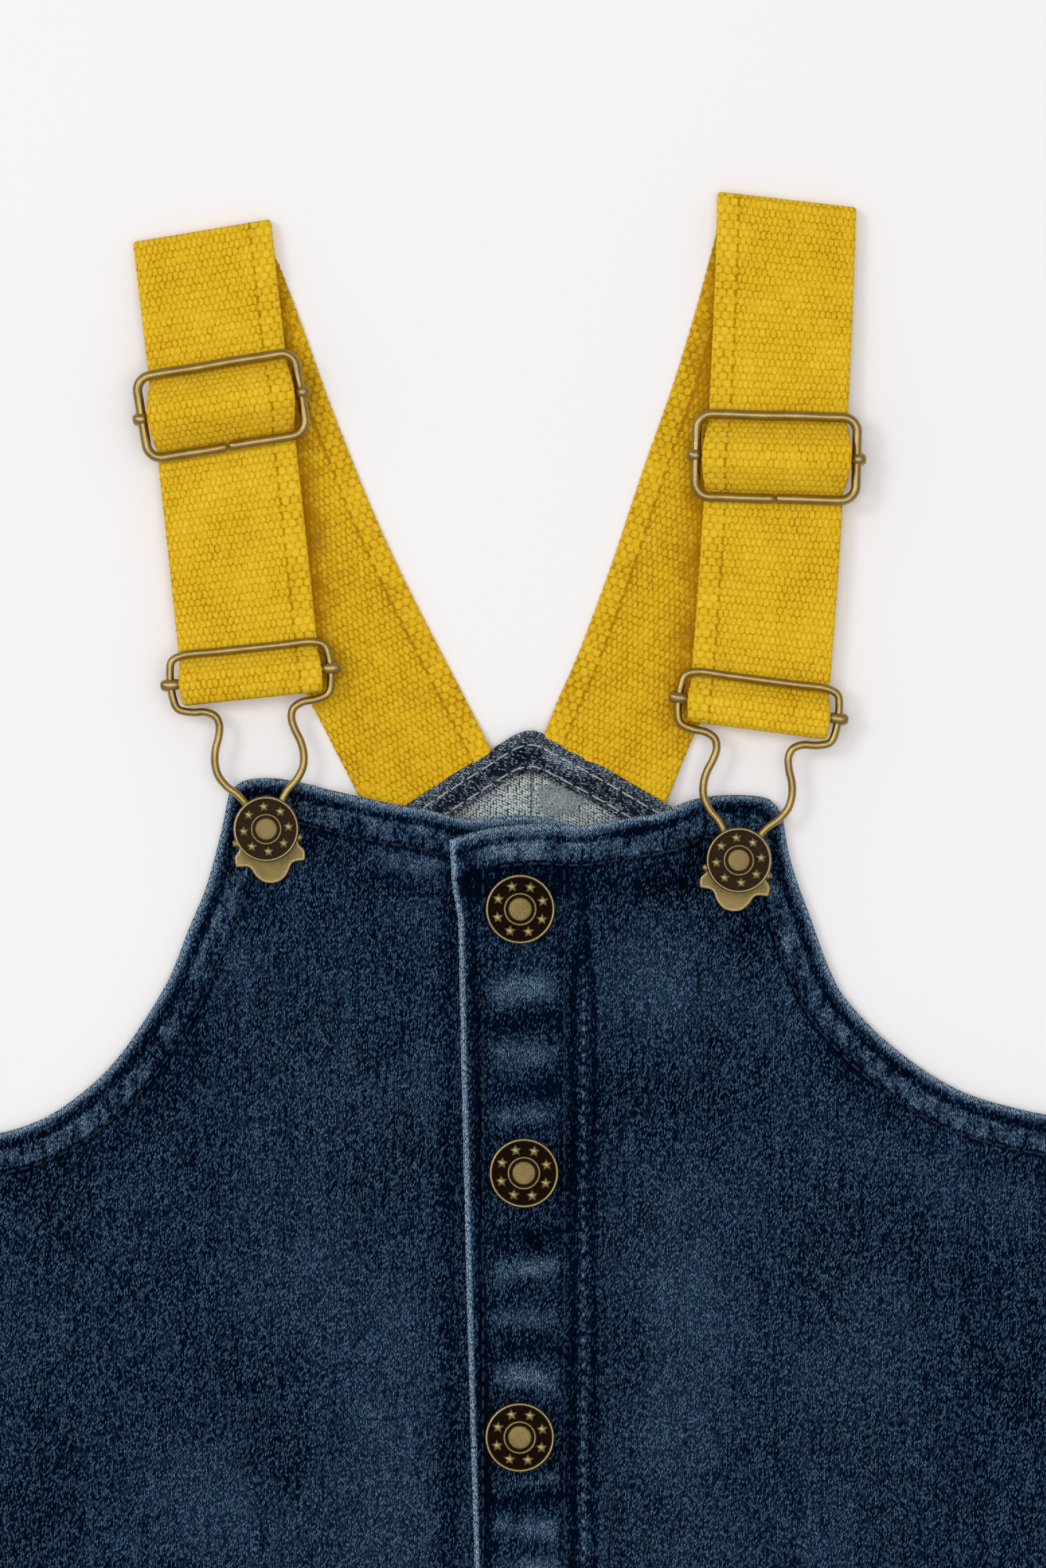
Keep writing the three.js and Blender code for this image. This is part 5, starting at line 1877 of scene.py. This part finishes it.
@dataclass
class RivetButton:
    """A riveted jeans button: a tack under the cloth and a ringed head with eight stars."""

    node: str
    place: tuple[float, float]
    radius: float
    tack_z: float
    head_z: float
    first_star: float
    finishes: Finishes
    head_height: float = 2.7
    post_radius: float = 1.9
    tack_radius: float = 4.4
    tack_thickness: float = 0.8
    dish: float = 0.5
    sides: int = 96

    def _profile(self) -> list[tuple[float, float, float]]:
        """Radius, height and stain of each ring, from the tack's middle to the head's middle."""
        r = self.radius
        top = self.head_z + self.head_height
        floor = top - self.dish
        tack_top = self.tack_z + self.tack_thickness
        return [
            (0.0, self.tack_z, 0.0),
            (self.tack_radius * 0.9, self.tack_z, 0.0),
            (self.tack_radius, self.tack_z + 0.2, 0.0),
            (self.tack_radius, tack_top - 0.15, 0.0),
            (self.tack_radius * 0.94, tack_top, 0.0),
            (self.post_radius, tack_top, 0.3),
            (self.post_radius, self.head_z, 0.3),
            (r * 0.9, self.head_z, 0.3),
            (r * 0.97, self.head_z + 0.35, 0.2),
            (r, self.head_z + self.head_height * 0.4, 0.15),
            (r, top - 0.62, 0.1),
            (r * 0.992, top - 0.3, -0.3),
            (r * 0.975, top - 0.1, -0.6),
            (r * 0.955, top, -0.7),
            (r * 0.932, top - 0.05, -0.4),
            (r * 0.918, top - 0.2, 0.15),
            (r * 0.9, floor, 0.95),
            (r * 0.88, floor - 0.02, 1.0),
            (r * 0.7, floor, 1.0),
            (r * 0.5, floor, 1.0),
            (r * 0.478, floor + 0.06, 0.9),
            (r * 0.462, top - 0.14, -0.3),
            (r * 0.442, top - 0.06, -0.5),
            (r * 0.424, top - 0.14, 0.05),
            (r * 0.405, floor + 0.05, 0.9),
            (r * 0.36, floor + 0.02, 1.0),
            (r * 0.342, floor + 0.08, 0.8),
            (r * 0.328, top - 0.26, 0.1),
            (r * 0.305, top - 0.2, 0.0),
            (r * 0.16, top - 0.185, 0.0),
            (0.0, top - 0.18, 0.0),
        ]

    def build(self) -> bpy.types.Object:
        """Makes the button."""
        rows = self._profile()
        points, faces = lathe([row[:2] for row in rows], self.sides)
        stains = np.repeat([row[2] for row in rows[1:-1]], self.sides)
        stains = np.concatenate([stains, [rows[0][2], rows[-1][2]]])
        offset = np.array([*self.place, 0.0])
        parts = MeshParts()
        parts.add(points + offset, faces, stains)
        floor = self.head_z + self.head_height - self.dish
        for k in range(8):
            angle = math.radians(self.first_star + 45.0 * k)
            centre = 0.688 * self.radius * np.array([math.cos(angle), math.sin(angle)])
            points, faces = self._star(centre, floor, 90.0 + 7.0 * math.sin(3.0 * k + self.radius))
            parts.add(points + offset, faces, -0.45)
        is_bib = self.node.startswith("bib")
        finish = self.finishes.bib_button if is_bib else self.finishes.button
        piece = parts.piece(f"{self.node}_head", finish, Slot.BRASS)
        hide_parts(self.node)
        return piece

    def _star(self, centre: np.ndarray, floor: float, turn: float) -> tuple[np.ndarray, Faces]:
        """A raised five-pointed star with a ridge along each point."""
        reach = 0.19 * self.radius
        rim, base = [], []
        for k in range(10):
            angle = math.radians(turn + 36.0 * k)
            length = reach if k % 2 == 0 else reach * 0.45
            x = centre[0] + length * math.cos(angle)
            y = centre[1] + length * math.sin(angle)
            rim.append((x, y, floor + 0.3))
            base.append((x, y, floor - 0.1))
        points = np.array([*rim, *base, (*centre, floor + 0.38), (*centre, floor - 0.1)])
        faces: Faces = []
        for k in range(10):
            n = (k + 1) % 10
            faces.append((20, k, n))
            faces.append((k, 10 + k, 10 + n, n))
            faces.append((21, 10 + n, 10 + k))
        return points, faces


@dataclass
class FrayedThreads:
    """Loose yarn ends that have worked out of the cloth."""

    finishes: Finishes

    def _tangle(
        self,
        seed: int,
        centre: Sequence[float],
        spread: Sequence[float],
        count: int,
        length: float,
        radius: float,
    ) -> MeshParts:
        """Makes curled yarn ends.

        Args:
            seed: sets the random draws.
            centre: the middle of the tangle.
            spread: half its size on each axis.
            count: how many ends it has.
            length: the usual length of an end.
            radius: the yarn's radius.

        Returns:
            The gathered tubes.
        """
        chance = random.Random(seed)
        parts = MeshParts()
        for _ in range(count):
            start = [centre[k] + spread[k] * chance.gauss(0.0, 0.45) for k in range(3)]
            heading = chance.uniform(0.0, 2 * math.pi)
            curl = chance.uniform(-0.22, 0.22)
            steps = max(5, int(length * chance.uniform(0.5, 1.4) / 0.5))
            path = []
            x, y, z = start
            climb = chance.uniform(-0.04, 0.08)
            for _ in range(steps):
                path.append((x, y, max(z, centre[2] - spread[2])))
                heading += curl + chance.uniform(-0.35, 0.35)
                x += 0.5 * math.cos(heading)
                y += 0.5 * math.sin(heading)
                z = min(z + climb + chance.uniform(-0.05, 0.05), centre[2] + spread[2])
            taper = np.linspace(1.0, 0.45, len(path)) * radius
            parts.add(*tube(np.array(path), taper, 5))
        return parts

    def build(self) -> None:
        """Makes the frayed centre back and the fuzz on both straps."""
        denim = (self.finishes.grey_thread, Slot.DENIM)
        webbing = (self.finishes.yellow_thread, Slot.WEBBING)
        rows = (
            ("frayed_centre_back", denim, 22, (8.2, 202.8, 1.9), (4.6, 3.6, 0.6), 420, 2.2, 0.09),
            ("frayed_wad", denim, 14, (8.0, 203.0, 1.8), (3.8, 3.0, 0.5), 60, 4.5, 0.16),
            ("webbing_fuzz_left", webbing, 15, (-44.2, 258.5, 3.2), (0.9, 4.0, 0.4), 26, 1.2, 0.06),
            ("webbing_fuzz_right", webbing, 16, (35.6, 238.2, 3.2), (0.9, 2.0, 0.4), 18, 1.2, 0.06),
        )
        for name, look, *sizes in rows:
            self._tangle(*sizes).piece(name, *look)


@dataclass
class Studio:
    """The table, the soft light and the camera over it."""

    finishes: Finishes
    view_height: float = 0.339
    view_y: float = 0.2061
    distance: float = 1.5
    sensor: float = 36.0

    def build(self) -> None:
        """Makes the table, lights and camera."""
        mesh = bpy.data.meshes.new("table")
        reach = 4.0
        corners = [(-reach, -reach, 0.0), (reach, -reach, 0.0), (reach, reach, 0.0), (-reach, reach, 0.0)]
        mesh.from_pydata(corners, [], [(0, 1, 2, 3)])
        mesh.materials.append(self.finishes.table)
        table = bpy.data.objects.new("table", mesh)
        table.location.z = -0.00005
        bpy.context.scene.collection.objects.link(table)
        self._light("key_light", (-1.1, 0.66, 1.6), 0.6, 7.6)
        self._light("softbox", (0.1, 0.15, 2.2), 1.8, 19.0)
        world = bpy.data.worlds.new("studio")
        world.use_nodes = True
        backdrop = world.node_tree.nodes["Background"]
        backdrop.inputs["Color"].default_value = (1.0, 0.99, 0.995, 1.0)
        backdrop.inputs["Strength"].default_value = 0.49
        bpy.context.scene.world = world
        bpy.context.scene.view_settings.view_transform = "Standard"
        lens = bpy.data.cameras.new("camera")
        lens.type = "PERSP"
        lens.sensor_width = self.sensor
        lens.lens = self.sensor * self.distance / self.view_height
        camera = bpy.data.objects.new("camera", lens)
        camera.location = (0.0, self.view_y, self.distance)
        bpy.context.scene.collection.objects.link(camera)
        bpy.context.scene.camera = camera

    def _light(self, name: str, place: Sequence[float], size: float, power: float) -> None:
        """Makes a square light that faces the bib."""
        data = bpy.data.lights.new(name, "AREA")
        data.size = size
        data.energy = power
        light = bpy.data.objects.new(name, data)
        light.location = place
        aim = Vector((0.0, self.view_y, 0.0)) - Vector(place)
        light.rotation_euler = aim.to_track_quat("-Z", "Y").to_euler()
        bpy.context.scene.collection.objects.link(light)


def make_straps(pattern: Pattern, finishes: Finishes) -> list[Strap]:
    """Both straps, with the places of their hardware."""
    left = Strap(
        Side.LEFT,
        pattern,
        finishes,
        back_run=(
            (-17.3, 200.9, 2.25, 27.0), (-20.2, 206.6, 2.25, 27.0), (-24.0, 214.1, 0.85, 27.0),
            (-27.3, 220.5, 0.75, 26.5), (-42.5, 250.7, 0.75, 24.0), (-53.3, 276.6, 0.75, 21.0),
            (-62.7, 302.4, 0.75, 17.0), (-67.6, 315.8, 0.75, 12.0),
        ),
        fold=(-69.1, 323.6, 9.5),
        head=pattern.bib_buttons[Side.LEFT],
        buckle_turn=6.0,
        slider_distance=36.3,
        slider_turn=9.6,
        bow=0.2,
        plate_drop=0.6,
    )
    right = Strap(
        Side.RIGHT,
        pattern,
        finishes,
        back_run=(
            (15.9, 204.7, 2.25, -21.0), (18.6, 211.6, 2.25, -21.0), (21.9, 219.6, 0.85, -21.0),
            (25.5, 227.7, 0.75, -21.0), (33.3, 248.6, 0.75, -19.5), (40.1, 269.0, 0.75, -18.0),
            (46.9, 288.4, 0.75, -15.5), (52.2, 306.0, 0.75, -12.0), (56.4, 322.0, 0.75, -8.0),
        ),
        fold=(56.9, 330.3, -6.6),
        head=pattern.bib_buttons[Side.RIGHT],
        buckle_turn=-7.5,
        slider_distance=53.9,
        slider_turn=-1.5,
        bow=0.7,
        plate_drop=0.0,
    )
    return [left, right]


def make_buttons(pattern: Pattern, finishes: Finishes, straps: Sequence[Strap]) -> list[RivetButton]:
    """The four placket buttons and the two bib buttons."""
    underlap = pattern.denim + pattern.seam_gap + 1.3
    overlap_top = underlap + 2 * pattern.denim + pattern.facing + 2 * pattern.seam_gap
    tack_z = underlap - pattern.seam_gap - 0.8
    head_z = overlap_top + pattern.seam_gap
    made = [
        RivetButton(f"placket_button_{k}", place, 7.5, tack_z, head_z, 20.0, finishes)
        for k, place in enumerate(pattern.placket_buttons, start=1)
    ]
    for strap in straps:
        head_z = strap.buckle_head_z + strap.buckle_radius + pattern.seam_gap
        node = f"bib_button_{strap.side.value}"
        made.append(RivetButton(node, strap.head, 7.05, 0.4, head_z, 96.0, finishes))
    return made


def main() -> None:
    """Builds the garment piece by piece, then the studio."""
    logging.basicConfig(level=logging.INFO, format="%(message)s")
    finishes = Finishes()
    pattern = Pattern()
    for side in Side:
        BackPanel(side, pattern, finishes).build()
        FrontPanel(side, pattern, finishes).build()
    PlacketBand(pattern, finishes).build()
    BackFacing(pattern, finishes).build()
    straps = make_straps(pattern, finishes)
    for strap in straps:
        strap.webbing()
        strap.hardware()
    for button in make_buttons(pattern, finishes, straps):
        button.build()
    FrayedThreads(finishes).build()
    Studio(finishes).build()


if __name__ == "__main__":
    main()
